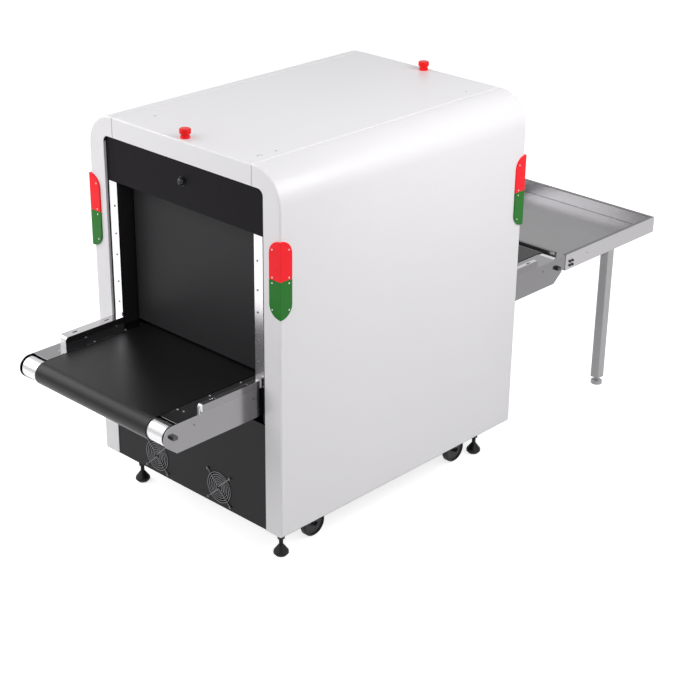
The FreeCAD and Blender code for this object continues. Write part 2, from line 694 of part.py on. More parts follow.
def make_fan_rotors():
    """Mould each rotor: a hub with a closed front and a blind bore, and a ring of blades."""
    hub_radius = size("rotor_hub")
    width = size("rotor_width")
    lead = rotor_lead()
    hub = Part.makeCylinder(hub_radius, width, Vector(lead, 0, 0), ALONG)
    bore = Part.makeCylinder(size("rotor_pin") + size("rotor_fit"), width - size("rotor_front"),
                             Vector(lead, 0, 0), ALONG)
    reach = fan_bore() - size("rotor_tip_gap")
    chord = width / math.sin(math.radians(size("blade_pitch")))
    span = Part.makeCylinder(reach, width, Vector(lead, 0, 0), ALONG)
    thick = size("blade_thick")
    blades = []
    for k in range(int(size("rotor_blades"))):
        blade = Part.makeBox(chord, thick, reach, Vector(-chord / 2, -thick / 2, hub_radius - thick))
        blade.rotate(Vector(0, 0, 0), Vector(0, 0, 1), 90 - size("blade_pitch"))
        blade.translate(Vector(lead + width / 2, 0, 0))
        blade.rotate(Vector(0, 0, 0), ALONG, 360 * k / size("rotor_blades"))
        blades.append(blade.common(span))
    rotor = hub.fuse(blades).cut(bore).removeSplitter()
    back = size("cabinet_length") / 2 - size("panel_setback") - size("panel_sheet")
    for place, sign, y in fan_places():
        keep(solid(place + "_rotor", place_fan(rotor, sign, y, back)), place + "_fan_rotor")


def make_conveyor_plates():
    """Fold each conveyor side plate: a web with round noses and a flange beside the belt."""
    body = new_body("near_conveyor_plate_body")
    web = sketch_on(body, "XZ_Plane", PLATE_IN)
    heel = "(%s - Sizes.nose_heel)" % AXLE_X
    foot = "(Sizes.belt_top - Sizes.plate_drop)"
    tangent_x = "(%s + %s * sin(Sizes.nose_turn * 1 deg))" % (AXLE_X, NOSE)
    tangent_z = "(%s - %s * cos(Sizes.nose_turn * 1 deg))" % (AXLE_Z, NOSE)
    polygon(web, [
        ("-%s" % AXLE_X, FLANGE_TOP),
        ("-%s" % tangent_x, tangent_z),
        ("-%s" % heel, foot),
        (heel, foot),
        (tangent_x, tangent_z),
        (AXLE_X, FLANGE_TOP),
    ])
    pad(body, web, "Sizes.plate_sheet")
    for sign in ("-", ""):
        nose = sketch_on(body, "XZ_Plane", PLATE_IN)
        circle(nose, ("%s%s" % (sign, AXLE_X), AXLE_Z), NOSE)
        pad(body, nose, "Sizes.plate_sheet")
    flange = sketch_on(body, "XY_Plane", FLANGE_TOP)
    flange_x = "(%s - Sizes.flange_end)" % AXLE_X
    polygon(flange, [
        ("-%s" % flange_x, "-%s" % PLATE_OUT),
        (flange_x, "-%s" % PLATE_OUT),
        (flange_x, "-%s" % FLANGE_IN),
        ("-%s" % flange_x, "-%s" % FLANGE_IN),
    ])
    pad(body, flange, "Sizes.plate_sheet", backward=True)
    slots = sketch_on(body, "XZ_Plane", PLATE_IN)
    flat = "Sizes.axle_flat"
    across = "Sizes.axle_radius"
    for sign in ("-", ""):
        centre = "%s%s" % (sign, AXLE_X)
        polygon(slots, [
            ("%s - %s" % (centre, across), "%s - %s" % (AXLE_Z, flat)),
            ("%s + %s" % (centre, across), "%s - %s" % (AXLE_Z, flat)),
            ("%s + %s" % (centre, across), "%s + %s" % (AXLE_Z, flat)),
            ("%s - %s" % (centre, across), "%s + %s" % (AXLE_Z, flat)),
        ])
    pocket(body, slots, symmetric=True)
    keep(body, "near_conveyor_plate")
    keep(mirrored("far_conveyor_plate_twin", body, ACROSS), "far_conveyor_plate")


def make_cross_tubes():
    """Space the two side plates with square tubes that also carry the slider bed."""
    tubes = []
    side = size("cross_tube")
    top = size("belt_top") - size("belt_thick") - size("bed_lip")
    count = int(size("cross_tube_count"))
    outermost = axle_x() - size("cross_tube_inset")
    pitch = 2 * outermost / (count - 1)
    for k in range(count):
        corner = Vector(k * pitch - outermost - side / 2, -plate_inside(), top - side)
        tubes.append(Part.makeBox(side, 2 * plate_inside(), side, corner))
    keep(solid("cross_tube_set", Part.makeCompound(tubes)), "conveyor_cross_tubes")


def make_slider_bed():
    """Fold the slider bed that the belt runs on: a flat plate with a lip down each side."""
    body = new_body("slider_bed_body")
    section = sketch_on(body, "YZ_Plane")
    edge = "(%s - Sizes.bed_margin)" % BELT_EDGE
    inner = "(%s - Sizes.bed_sheet)" % edge
    top = "(Sizes.belt_top - Sizes.belt_thick)"
    polygon(section, [
        ("-%s" % edge, top),
        ("-%s" % edge, "%s - Sizes.bed_lip" % top),
        ("-%s" % inner, "%s - Sizes.bed_lip" % top),
        ("-%s" % inner, "%s - Sizes.bed_sheet" % top),
        (inner, "%s - Sizes.bed_sheet" % top),
        (inner, "%s - Sizes.bed_lip" % top),
        (edge, "%s - Sizes.bed_lip" % top),
        (edge, top),
    ])
    pad(body, section, "2 * (%s - Sizes.roller_radius - Sizes.bed_end_gap)" % AXLE_X, symmetric=True)
    keep(body, "slider_bed")


def make_belt():
    """Run one closed belt loop round both end rollers."""
    inner = size("roller_radius") + size("belt_fit")
    width = 2 * belt_edge()

    def loop(radius):
        """Give the filled shape of a loop of this radius round both axles."""
        right = Vector(axle_x(), -width / 2, axle_level())
        left = Vector(-axle_x(), -width / 2, axle_level())
        up = Vector(0, 0, radius)
        wire = Part.Wire([
            Part.LineSegment(left + up, right + up).toShape(),
            Part.Arc(right + up, right + Vector(radius, 0, 0), right - up).toShape(),
            Part.LineSegment(right - up, left - up).toShape(),
            Part.Arc(left - up, left - Vector(radius, 0, 0), left + up).toShape(),
        ])
        return Part.Face(wire).extrude(Vector(0, width, 0))

    belt = loop(inner + size("belt_thick")).cut(loop(inner))
    keep(solid("belt_loop", belt), "conveyor_belt")


def make_rollers():
    """Turn each end roller: a tube with a bored cap in each end, running on a fixed axle."""
    body = new_body("entry_roller_body")
    half = "(%s - Sizes.roller_gap)" % PLATE_IN
    bore = "Sizes.axle_radius + Sizes.axle_fit"
    hollow = "Sizes.roller_radius - Sizes.roller_wall"
    inner = "(%s - Sizes.roller_cap)" % half
    section = sketch_on(body, "XY_Plane")
    polygon(section, [
        (bore, "-%s" % half),
        ("Sizes.roller_radius", "-%s" % half),
        ("Sizes.roller_radius", half),
        (bore, half),
        (bore, inner),
        (hollow, inner),
        (hollow, "-%s" % inner),
        (bore, "-%s" % inner),
    ])
    turned = body.newObject("PartDesign::Revolution", "Revolution")
    turned.Profile = section
    turned.ReferenceAxis = (origin_plane(body, "Y_Axis"), [""])
    turned.Angle = 360
    doc.recompute()
    body.setExpression("Placement.Base.x", "-%s" % AXLE_X)
    body.setExpression("Placement.Base.z", AXLE_Z)
    keep(body, "entry_roller")
    keep(mirrored("exit_roller_twin", body, ALONG), "exit_roller")


def make_axles():
    """Cut the fixed roller axles, whose flatted ends stand in the side plates' slots."""
    axles = []
    radius = size("axle_radius")
    flat = size("axle_flat")
    inside = plate_inside()
    end = inside + size("plate_sheet") + size("axle_stub")
    level = axle_level()
    for sign in (-1, 1):
        x = sign * axle_x()
        bar = Part.makeCylinder(radius, 2 * inside, Vector(x, -inside, level), ACROSS)
        stub = Part.makeCylinder(radius, 2 * end, Vector(x, -end, level), ACROSS)
        slab = Part.makeBox(2 * radius, 2 * end, 2 * flat, Vector(x - radius, -end, level - flat))
        axles.append(bar.fuse(stub.common(slab)).removeSplitter())
    keep(solid("axle_set", Part.makeCompound(axles)), "roller_axles")


def fold_rail(name, outer, inner, height):
    """Fold one rail at the entry on the near side: a channel, open below, with a rounded nose."""
    body = new_body(name)
    start = "-(%s - Sizes.rail_setback)" % AXLE_X
    end = "-(%s + Sizes.rail_end_gap)" % HALF_LENGTH
    outline = sketch_on(body, "XY_Plane", FLANGE_TOP)
    polygon(outline, [
        (start, "-%s" % outer),
        (end, "-%s" % outer),
        (end, "-%s" % inner),
        (start, "-%s" % inner),
    ])
    pad(body, outline, height)
    nose = body.Shape.BoundBox.XMin
    rail_top = body.Shape.BoundBox.ZMax
    rail_face = body.Shape.BoundBox.YMin
    fillet(body, "Sizes.rail_nose",
           lambda e: edge_at(e, x=nose, y=rail_face) or edge_at(e, x=nose, z=rail_top))
    hollow = sketch_on(body, "XY_Plane", FLANGE_TOP)
    polygon(hollow, [
        ("%s + Sizes.rail_nose" % start, "-(%s - Sizes.rail_sheet)" % outer),
        (end, "-(%s - Sizes.rail_sheet)" % outer),
        (end, "-(%s + Sizes.rail_sheet)" % inner),
        ("%s + Sizes.rail_nose" % start, "-(%s + Sizes.rail_sheet)" % inner),
    ])
    pocket(body, hollow, "%s - Sizes.rail_sheet" % height, backward=True)
    slots = sketch_on(body, "XY_Plane", FLANGE_TOP)
    middle = "(%s + %s) / 2" % (outer, inner)
    for low in ("%s + Sizes.rail_slot_start" % start,
                "%s - Sizes.rail_slot_end - Sizes.rail_slot_length" % end):
        polygon(slots, [
            (low, "-(%s + Sizes.rail_slot_width / 2)" % middle),
            ("%s + Sizes.rail_slot_length" % low, "-(%s + Sizes.rail_slot_width / 2)" % middle),
            ("%s + Sizes.rail_slot_length" % low, "-(%s - Sizes.rail_slot_width / 2)" % middle),
            (low, "-(%s - Sizes.rail_slot_width / 2)" % middle),
        ])
    pocket(body, slots, backward=True)
    return body


def make_side_rails():
    """Set a rail on each flange outside the tunnel: low ones near, taller and wider ones far."""
    near_inner = "(%s - Sizes.near_rail_width)" % PLATE_OUT
    near = fold_rail("entry_near_rail", PLATE_OUT, near_inner, "Sizes.near_rail_height")
    far_outer = "(%s - Sizes.far_rail_inset)" % PLATE_OUT
    far_inner = "(%s - Sizes.far_rail_width)" % far_outer
    blank = fold_rail("far_rail_blank", far_outer, far_inner, "Sizes.far_rail_height")
    far = mirrored("entry_far_rail", blank, ACROSS)
    exits = [mirrored("exit_rail", rail, ALONG) for rail in (near, far)]
    keep(grouped("side_rail_set", [near, far] + exits), "side_rails")


def make_curtains():
    """Hang a lead-rubber curtain from a rod inside each tunnel mouth."""
    half = tunnel_side() - size("curtain_side_gap")
    level = tunnel_top() - size("curtain_rod_drop")
    low = size("belt_top") + size("curtain_floor_gap")
    thick = size("curtain_thick")
    place = size("cabinet_length") / 2 - size("curtain_setback")
    hem = Part.makeCylinder(size("curtain_hem"), 2 * half, Vector(0, -half, level), ACROSS)
    cloth = Part.makeBox(thick, 2 * half, level - low, Vector(-thick / 2, -half, low))
    bore = Part.makeCylinder(size("curtain_rod_radius") + size("axle_fit"), 2 * half,
                             Vector(0, -half, level), ACROSS)
    curtain = hem.fuse(cloth).cut(bore).removeSplitter()
    inside = tunnel_side()
    rods = []
    for end, sign in (("entry", -1), ("exit", 1)):
        hung = curtain.copy()
        hung.translate(Vector(sign * place, 0, 0))
        keep(solid(end + "_curtain_cloth", hung), end + "_curtain")
        rods.append(Part.makeCylinder(size("curtain_rod_radius"), 2 * inside,
                                      Vector(sign * place, -inside, level), ACROSS))
    keep(solid("curtain_rod_pair", Part.makeCompound(rods)), "curtain_rods")


def make_domes():
    """Set a small dark dome in a round bezel in the middle of each hood."""
    radius = size("dome_radius")
    base = size("dome_base")
    face = size("cabinet_length") / 2 - size("shell_sheet") - size("portal_setback")
    bezel = Part.makeCylinder(radius + base, base, Vector(0, 0, 0), ALONG)
    ball = Part.makeSphere(radius, Vector(base, 0, 0))
    front = Part.makeBox(2 * radius, 4 * radius, 4 * radius, Vector(0, -2 * radius, -2 * radius))
    dome = bezel.fuse(ball.common(front)).removeSplitter()
    domes = []
    for sign in (-1, 1):
        shape = dome.copy() if sign > 0 else dome.mirror(Vector(0, 0, 0), ALONG)
        shape.translate(Vector(sign * face, 0, tunnel_top() + size("dome_lift")))
        domes.append(shape)
    keep(solid("dome_pair", Part.makeCompound(domes)), "hood_domes")


def lens_levels():
    """Give the heights of a lens pair's bottom, joint and top."""
    top = size("cabinet_top") - size("lens_drop")
    joint = top - size("red_height")
    return joint - size("green_height"), joint, top


def lens_blank(low, high):
    """Cut one folded lens for the corner at +X +Y, between two heights of its stadium."""
    reach = size("lens_reach")
    thick = size("lens_thick")
    x = size("cabinet_length") / 2
    y = size("cabinet_width") / 2
    bottom, _, top = lens_levels()
    # The stadium is drawn flat, half on each face of the corner.
    flat = Part.makeBox(2 * reach, thick, top - bottom - 2 * reach, Vector(-reach, 0, bottom + reach))
    for level in (bottom + reach, top - reach):
        flat = flat.fuse(Part.makeCylinder(reach, thick, Vector(0, 0, level), ACROSS))
    band = Part.makeBox(4 * reach, 4 * reach, high - low, Vector(-2 * reach, -2 * reach, low))
    flat = flat.common(band).removeSplitter()
    half = Part.makeBox(2 * reach, 2 * thick, top, Vector(-2 * reach, -thick, 0))
    wing = flat.common(half)
    on_side = wing.copy()
    on_side.translate(Vector(x, y, 0))
    on_end = wing.copy()
    on_end.rotate(Vector(0, 0, 0), Vector(0, 0, 1), -90)
    on_end = on_end.mirror(Vector(0, 0, 0), ACROSS)
    on_end.translate(Vector(x, y, 0))
    # A square prism fills the outer corner between the two wings.
    corner_low = max(low, bottom)
    corner_high = min(high, top)
    corner = Part.makeBox(thick, thick, corner_high - corner_low, Vector(x, y, corner_low))
    return on_side.fuse([on_end, corner]).removeSplitter()


def make_lenses():
    """Mould the traffic lights: red over green lenses folded round the four upright corners."""
    gap = size("lens_gap") / 2
    bottom, joint, top = lens_levels()
    spans = (("red_lenses", joint + gap, top), ("green_lenses", bottom, joint - gap))
    for node, low, high in spans:
        blank = lens_blank(low, high)
        lenses = []
        for flip_x in (False, True):
            for flip_y in (False, True):
                lens = blank.copy()
                if flip_x:
                    lens = lens.mirror(Vector(0, 0, 0), ALONG)
                if flip_y:
                    lens = lens.mirror(Vector(0, 0, 0), ACROSS)
                lenses.append(lens)
        keep(solid(node + "_set", Part.makeCompound(lenses)), node)


def revolved(outline):
    """Turn an outline of (radius, height) points about the upright axis."""
    points = [Vector(radius, 0, height) for radius, height in outline]
    return Part.Face(Part.makePolygon(points + points[:1])).revolve(Vector(), Vector(0, 0, 1), 360)


def make_stop_buttons():
    """Turn the two emergency stops: a red mushroom head on a stem that slides in a collar."""
    top = size("cabinet_top")
    place = size("cabinet_length") / 2 - size("stop_inset")
    collar_height = size("stop_collar_height")
    low = collar_height + size("stop_gap")
    high = size("stop_height")
    radius = size("stop_radius")
    stem = size("stop_stem")
    crown = size("stop_crown")
    # The stem ends as far over the cover as the head stands over its collar, and the crown is
    # drawn as three short bevels that flatten out halfway to the middle.
    button = revolved([
        (0, size("stop_gap")), (stem, size("stop_gap")), (stem, low), (radius - size("stop_skirt"), low),
        (radius, low + size("stop_edge")), (radius, high - crown),
        (radius - crown / 4, high - crown / 2), (radius - crown * 3 / 4, high - crown / 5),
        (radius / 2, high), (0, high),
    ])
    bore = stem + size("stem_fit")
    collar_radius = bore + size("stop_collar_wall")
    bevel = size("stop_collar_bevel")
    collar = revolved([
        (bore, 0), (collar_radius, 0), (collar_radius, collar_height - bevel),
        (collar_radius - bevel, collar_height), (bore, collar_height),
    ])
    collars = []
    for end, sign in (("entry", -1), ("exit", 1)):
        spot = Vector(sign * place, 0, top)
        part = button.copy()
        part.translate(spot)
        keep(solid(end + "_stop_head", part), end + "_stop_button")
        ring = collar.copy()
        ring.translate(spot)
        collars.append(ring)
    keep(solid("stop_collar_pair", Part.makeCompound(collars)), "stop_collars")


def make_feet():
    """Turn the levelling feet: a bell on a threaded stud with a locking nut."""
    radius = size("foot_radius")
    height = size("foot_height")
    stud = size("stud_radius")
    top = size("cabinet_bottom")
    turned = revolved([
        (0, 0), (radius - size("foot_sole_inset"), 0), (radius, size("foot_edge_low")),
        (radius - size("foot_bell_inset"), size("foot_edge_high")),
        (stud + size("foot_neck"), height), (stud, height), (stud, top), (0, top),
    ])
    corners = [Vector(size("nut_radius") * math.cos(math.tau * k / 6),
                      size("nut_radius") * math.sin(math.tau * k / 6), 0) for k in range(7)]
    nut = Part.Face(Part.makePolygon(corners)).extrude(Vector(0, 0, size("nut_height")))
    lower_nut = nut.copy()
    lower_nut.translate(Vector(0, 0, size("nut_level")))
    upper_nut = nut.copy()
    upper_nut.translate(Vector(0, 0, top - size("nut_height")))
    foot = turned.fuse([lower_nut, upper_nut]).removeSplitter()
    feet = []
    for sx in (-1, 1):
        for sy in (-1, 1):
            placed = foot.copy()
            placed.translate(Vector(sx * (size("cabinet_length") / 2 - size("foot_inset_x")),
                                    sy * (size("cabinet_width") / 2 - size("foot_inset_y")), 0))
            feet.append(placed)
    keep(solid("levelling_foot_set", Part.makeCompound(feet)), "levelling_feet")


def make_casters():
    """Build the four swivel casters that lift off the floor when the feet are down."""
    top = size("cabinet_bottom")
    trail = size("caster_trail")
    width = size("caster_width")
    axle = size("caster_axle")
    half_plate = size("caster_plate") / 2
    plate_sheet = size("caster_plate_sheet")
    pin_radius = size("caster_pin")
    grip = size("caster_pin_grip")
    fit = size("caster_fit")
    cheek = size("caster_cheek")
    # The wheel fills the height that the plate, the fork's crown and the gaps leave.
    crown_high = top - plate_sheet - size("caster_fork_gap")
    crown_low = crown_high - size("caster_crown")
    radius = (crown_low - size("caster_roof_gap") - size("caster_clearance")) / 2
    axle_z = size("caster_clearance") + radius
    cheek_in = width / 2 + size("caster_side_gap")
    fork_half = cheek_in + cheek
    # The plate is bolted to the cabinet and carries the king pin.
    plate = Part.makeBox(2 * half_plate, 2 * half_plate, plate_sheet,
                         Vector(-half_plate, -half_plate, top - plate_sheet))
    plate = plate.makeFillet(pin_radius, upright_edges(plate))
    pin = Part.makeCylinder(pin_radius, top - plate_sheet - crown_high + grip,
                            Vector(0, 0, crown_high - grip))
    mount = plate.fuse(pin)
    # The fork is pressed: a round-nosed crown and two cheeks that taper to the axle.
    crown_front = trail + pin_radius
    crown = Part.makeBox(crown_front, 2 * fork_half, crown_high - crown_low,
                         Vector(0, -fork_half, crown_low))
    crown = crown.fuse(Part.makeCylinder(fork_half, crown_high - crown_low, Vector(0, 0, crown_low)))
    bore = Part.makeCylinder(pin_radius + fit, grip + fit, Vector(0, 0, crown_high - grip - fit))
    cheeks = []
    for y in (cheek_in, -fork_half):
        outline = Part.makePolygon([
            Vector(0, y, crown_high), Vector(0, y, crown_low - grip),
            Vector(trail - 2 * axle, y, axle_z), Vector(trail + 2 * axle, y, axle_z),
            Vector(crown_front, y, crown_high), Vector(0, y, crown_high),
        ])
        cheeks.append(Part.Face(outline).extrude(Vector(0, cheek, 0)))
        cheeks.append(Part.makeCylinder(2 * axle, cheek, Vector(trail, y, axle_z), ACROSS))
    bar_half = fork_half + cheek
    bar = Part.makeCylinder(axle, 2 * bar_half, Vector(trail, -bar_half, axle_z), ACROSS)
    fork = crown.fuse(cheeks + [bar]).cut(bore).removeSplitter()
    # The wheel has a bevelled tread, a dished web and a hub as wide as the tyre.
    hub = size("caster_hub")
    bevel = size("caster_tread")
    half = width / 2
    section = [
        (axle + fit, -half), (hub, -half), (hub, bevel - half), (radius - 2 * bevel, bevel - half),
        (radius - 2 * bevel, -half), (radius - bevel, -half), (radius, bevel - half),
        (radius, half - bevel), (radius - bevel, half), (radius - 2 * bevel, half),
        (radius - 2 * bevel, half - bevel), (hub, half - bevel), (hub, half), (axle + fit, half),
    ]
    wheel = revolved(section)
    wheel.rotate(Vector(0, 0, 0), ALONG, 90)
    wheel.translate(Vector(trail, 0, axle_z))
    mounts = []
    for end, sx in (("entry", -1), ("exit", 1)):
        for side, sy in (("near", -1), ("far", 1)):
            spot = Vector(sx * (size("cabinet_length") / 2 - size("caster_inset_x")),
                          sy * (size("cabinet_width") / 2 - size("caster_inset_y")), 0)
            for shape, kind in ((fork, "caster_fork"), (wheel, "caster_wheel")):
                placed = shape.copy()
                placed.translate(spot)
                node = "%s_%s_%s" % (end, side, kind)
                keep(solid(node + "_shape", placed), node)
            fixed = mount.copy()
            fixed.translate(spot)
            mounts.append(fixed)
    keep(solid("caster_mount_set", Part.makeCompound(mounts)), "caster_mounts")


def make_tray():
    """Fold the outfeed tray: a shallow pan with a flat rim and a lip toward the belt."""
    body = new_body("outfeed_tray_body")
    start = TRAY_START
    end = TRAY_END
    rim = "(Sizes.belt_top - Sizes.tray_drop)"
    floor = "(%s - Sizes.tray_depth)" % rim
    under = "(%s - Sizes.tray_sheet - Sizes.tray_skirt)" % floor
    outline = sketch_on(body, "XY_Plane", under)
    polygon(outline, [
        (start, "-%s" % PLATE_OUT),
        (end, "-%s" % PLATE_OUT),
        (end, PLATE_OUT),
        (start, PLATE_OUT),
    ])
    pad(body, outline, "%s - %s" % (rim, under))
    # The pan is open above its floor, and the skirt is open below it.
    inner = "(%s - Sizes.tray_sheet)" % PLATE_OUT
    inside = [
        ("(%s + Sizes.tray_sheet)" % start, "-%s" % inner),
        ("(%s - Sizes.tray_sheet)" % end, "-%s" % inner),
        ("(%s - Sizes.tray_sheet)" % end, inner),
        ("(%s + Sizes.tray_sheet)" % start, inner),
    ]
    pan = sketch_on(body, "XY_Plane", floor)
    polygon(pan, inside)
    pocket(body, pan, "Sizes.tray_depth", backward=True)
    skirt = sketch_on(body, "XY_Plane", under)
    polygon(skirt, inside)
    pocket(body, skirt, "Sizes.tray_skirt", backward=True)
    # The entry wall stops short of both sides, where the brackets reach in.
    notches = sketch_on(body, "XY_Plane", floor)
    notch = "(%s - Sizes.tray_notch)" % PLATE_OUT
    for sign in ("", "-"):
        polygon(notches, [
            (start, "%s%s" % (sign, notch)),
            ("%s + Sizes.tray_sheet" % start, "%s%s" % (sign, notch)),
            ("%s + Sizes.tray_sheet" % start, "%s%s" % (sign, inner)),
            (start, "%s%s" % (sign, inner)),
        ])
    pocket(body, notches, "Sizes.tray_depth", backward=True)
    hem = sketch_on(body, "XY_Plane", rim)
    shelf = "(%s - Sizes.tray_rim)" % PLATE_OUT
    polygon(hem, [
        (start, "-%s" % PLATE_OUT),
        (end, "-%s" % PLATE_OUT),
        (end, PLATE_OUT),
        (start, PLATE_OUT),
        (start, shelf),
        ("%s - Sizes.tray_rim" % end, shelf),
        ("%s - Sizes.tray_rim" % end, "-%s" % shelf),
        (start, "-%s" % shelf),
    ])
    pad(body, hem, "Sizes.tray_sheet", backward=True)
    lip = sketch_on(body, "XZ_Plane")
    front = "(%s - Sizes.tray_lip)" % start
    polygon(lip, [
        ("%s + Sizes.tray_sheet" % start, rim),
        (front, rim),
        (front, "%s - Sizes.tray_lip_drop" % rim),
        ("%s + Sizes.tray_sheet" % front, "%s - Sizes.tray_lip_drop" % rim),
        ("%s + Sizes.tray_sheet" % front, "%s - Sizes.tray_sheet" % rim),
        ("%s + Sizes.tray_sheet" % start, "%s - Sizes.tray_sheet" % rim),
    ])
    pad(body, lip, "2 * %s" % notch, symmetric=True)
    keep(body, "outfeed_tray")


def make_tray_brackets():
    """Join the tray to the conveyor with a flat plate inside each side."""
    brackets = []
    rim = "(Sizes.belt_top - Sizes.tray_drop)"
    for side in ("-", ""):
        y = ("%s(%s - Sizes.plate_sheet)" % (side, PLATE_IN), "%s%s" % (side, PLATE_IN))
        brackets.append(box("tray_bracket_block",
                            ("%s - Sizes.bracket_overlap" % TRAY_START,
                             "%s + Sizes.bracket_reach" % TRAY_START),
                            y if side == "" else (y[1], y[0]),
                            ("%s - Sizes.tray_depth" % rim, "%s - Sizes.tray_sheet" % rim)))
    keep(grouped("tray_bracket_pair", brackets), "tray_brackets")


def make_tray_legs():
    """Weld the two square tray legs, closed below by an end plug with a screw foot."""
    tube = size("leg_tube")
    wall = size("leg_wall")
    clear = size("leg_clear")
    floor_under = size("belt_top") - size("tray_drop") - size("tray_depth") - size("tray_sheet")
    outer = plate_inside()
    x = tray_start() + size("tray_length") - size("leg_inset")
    legs = []
    for sign in (-1, 1):
        middle = sign * (outer - tube / 2)
        corner = Vector(x - tube / 2, middle - tube / 2, clear)
        shell = Part.makeBox(tube, tube, floor_under - clear, corner)
        shell = shell.makeFillet(size("leg_round"), upright_edges(shell))
        hollow = Part.makeBox(tube - 2 * wall, tube - 2 * wall, floor_under - clear - wall,
                              corner + Vector(wall, wall, wall))
        foot = Part.makeCylinder(size("leg_foot_radius"), size("leg_foot_height"), Vector(x, middle, 0))
        stem = Part.makeCylinder(size("leg_stem_radius"), clear - size("leg_foot_height"),
                                 Vector(x, middle, size("leg_foot_height")))
        legs.append(shell.cut(hollow).fuse([foot, stem]).removeSplitter())
    keep(solid("tray_leg_pair", Part.makeCompound(legs)), "tray_legs")


def check_and_write():
    """Stop on any failed object, then write each piece to its own file."""
    doc.recompute()
    for item in doc.Objects:
        for state in item.State:
            if state in ("Invalid", "Error"):
                raise ValueError("%s is %s" % (item.Name, state))
    for item in NODES:
        shape = item.Shape
        if shape.isNull() or not shape.isValid() or shape.Volume <= 0:
            raise ValueError("%s has a bad shape" % item.Label)
        shape.exportStep("parts/%s.step" % item.Label)
        print("%-26s solids %2d  volume %12.1f" % (item.Label, len(shape.Solids), shape.Volume))


make_shells()
make_top_cover()
make_floor_plate()
make_portals()
make_jamb_strips()
make_tunnel()
make_lower_panels()
make_fan_guards()
make_fan_housings()
make_fan_rotors()
make_conveyor_plates()
make_cross_tubes()
make_slider_bed()
make_belt()
make_rollers()
make_axles()
make_side_rails()
make_curtains()
make_domes()
make_lenses()
make_stop_buttons()
make_feet()
make_casters()
make_tray()
make_tray_brackets()
make_tray_legs()
check_and_write()
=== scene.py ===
import math

import bmesh
import bpy
from mathutils import Matrix, Vector


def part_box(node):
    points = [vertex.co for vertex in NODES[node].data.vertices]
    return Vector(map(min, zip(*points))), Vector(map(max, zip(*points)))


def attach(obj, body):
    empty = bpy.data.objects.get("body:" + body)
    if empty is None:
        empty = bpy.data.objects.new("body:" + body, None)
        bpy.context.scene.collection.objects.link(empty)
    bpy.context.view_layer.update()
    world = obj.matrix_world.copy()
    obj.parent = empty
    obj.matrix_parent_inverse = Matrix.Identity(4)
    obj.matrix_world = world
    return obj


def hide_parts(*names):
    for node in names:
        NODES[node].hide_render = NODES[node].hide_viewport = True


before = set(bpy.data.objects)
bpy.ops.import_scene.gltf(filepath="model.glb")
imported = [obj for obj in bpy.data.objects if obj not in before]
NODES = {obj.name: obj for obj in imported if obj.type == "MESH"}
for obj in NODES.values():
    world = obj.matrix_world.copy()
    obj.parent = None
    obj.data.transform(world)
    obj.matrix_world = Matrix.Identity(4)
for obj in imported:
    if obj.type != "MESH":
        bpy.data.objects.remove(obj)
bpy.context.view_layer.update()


# Levelling feet: black rubber bells moulded onto blackened steel studs, which screw up into the
# floor plate and are locked by hexagon nuts. The rubber is dull and scuffed, the studs are rolled.
THREAD_START = 0.042
THREAD_PITCH = 0.0018
NOISE_LOW = 0.3
NOISE_HIGH = 0.7
SCRATCH_SCALE = 22.0
SCRATCH_START = 0.62
SCRATCH_FULL = 0.74
GRAIN_DEPTH = 0.0002


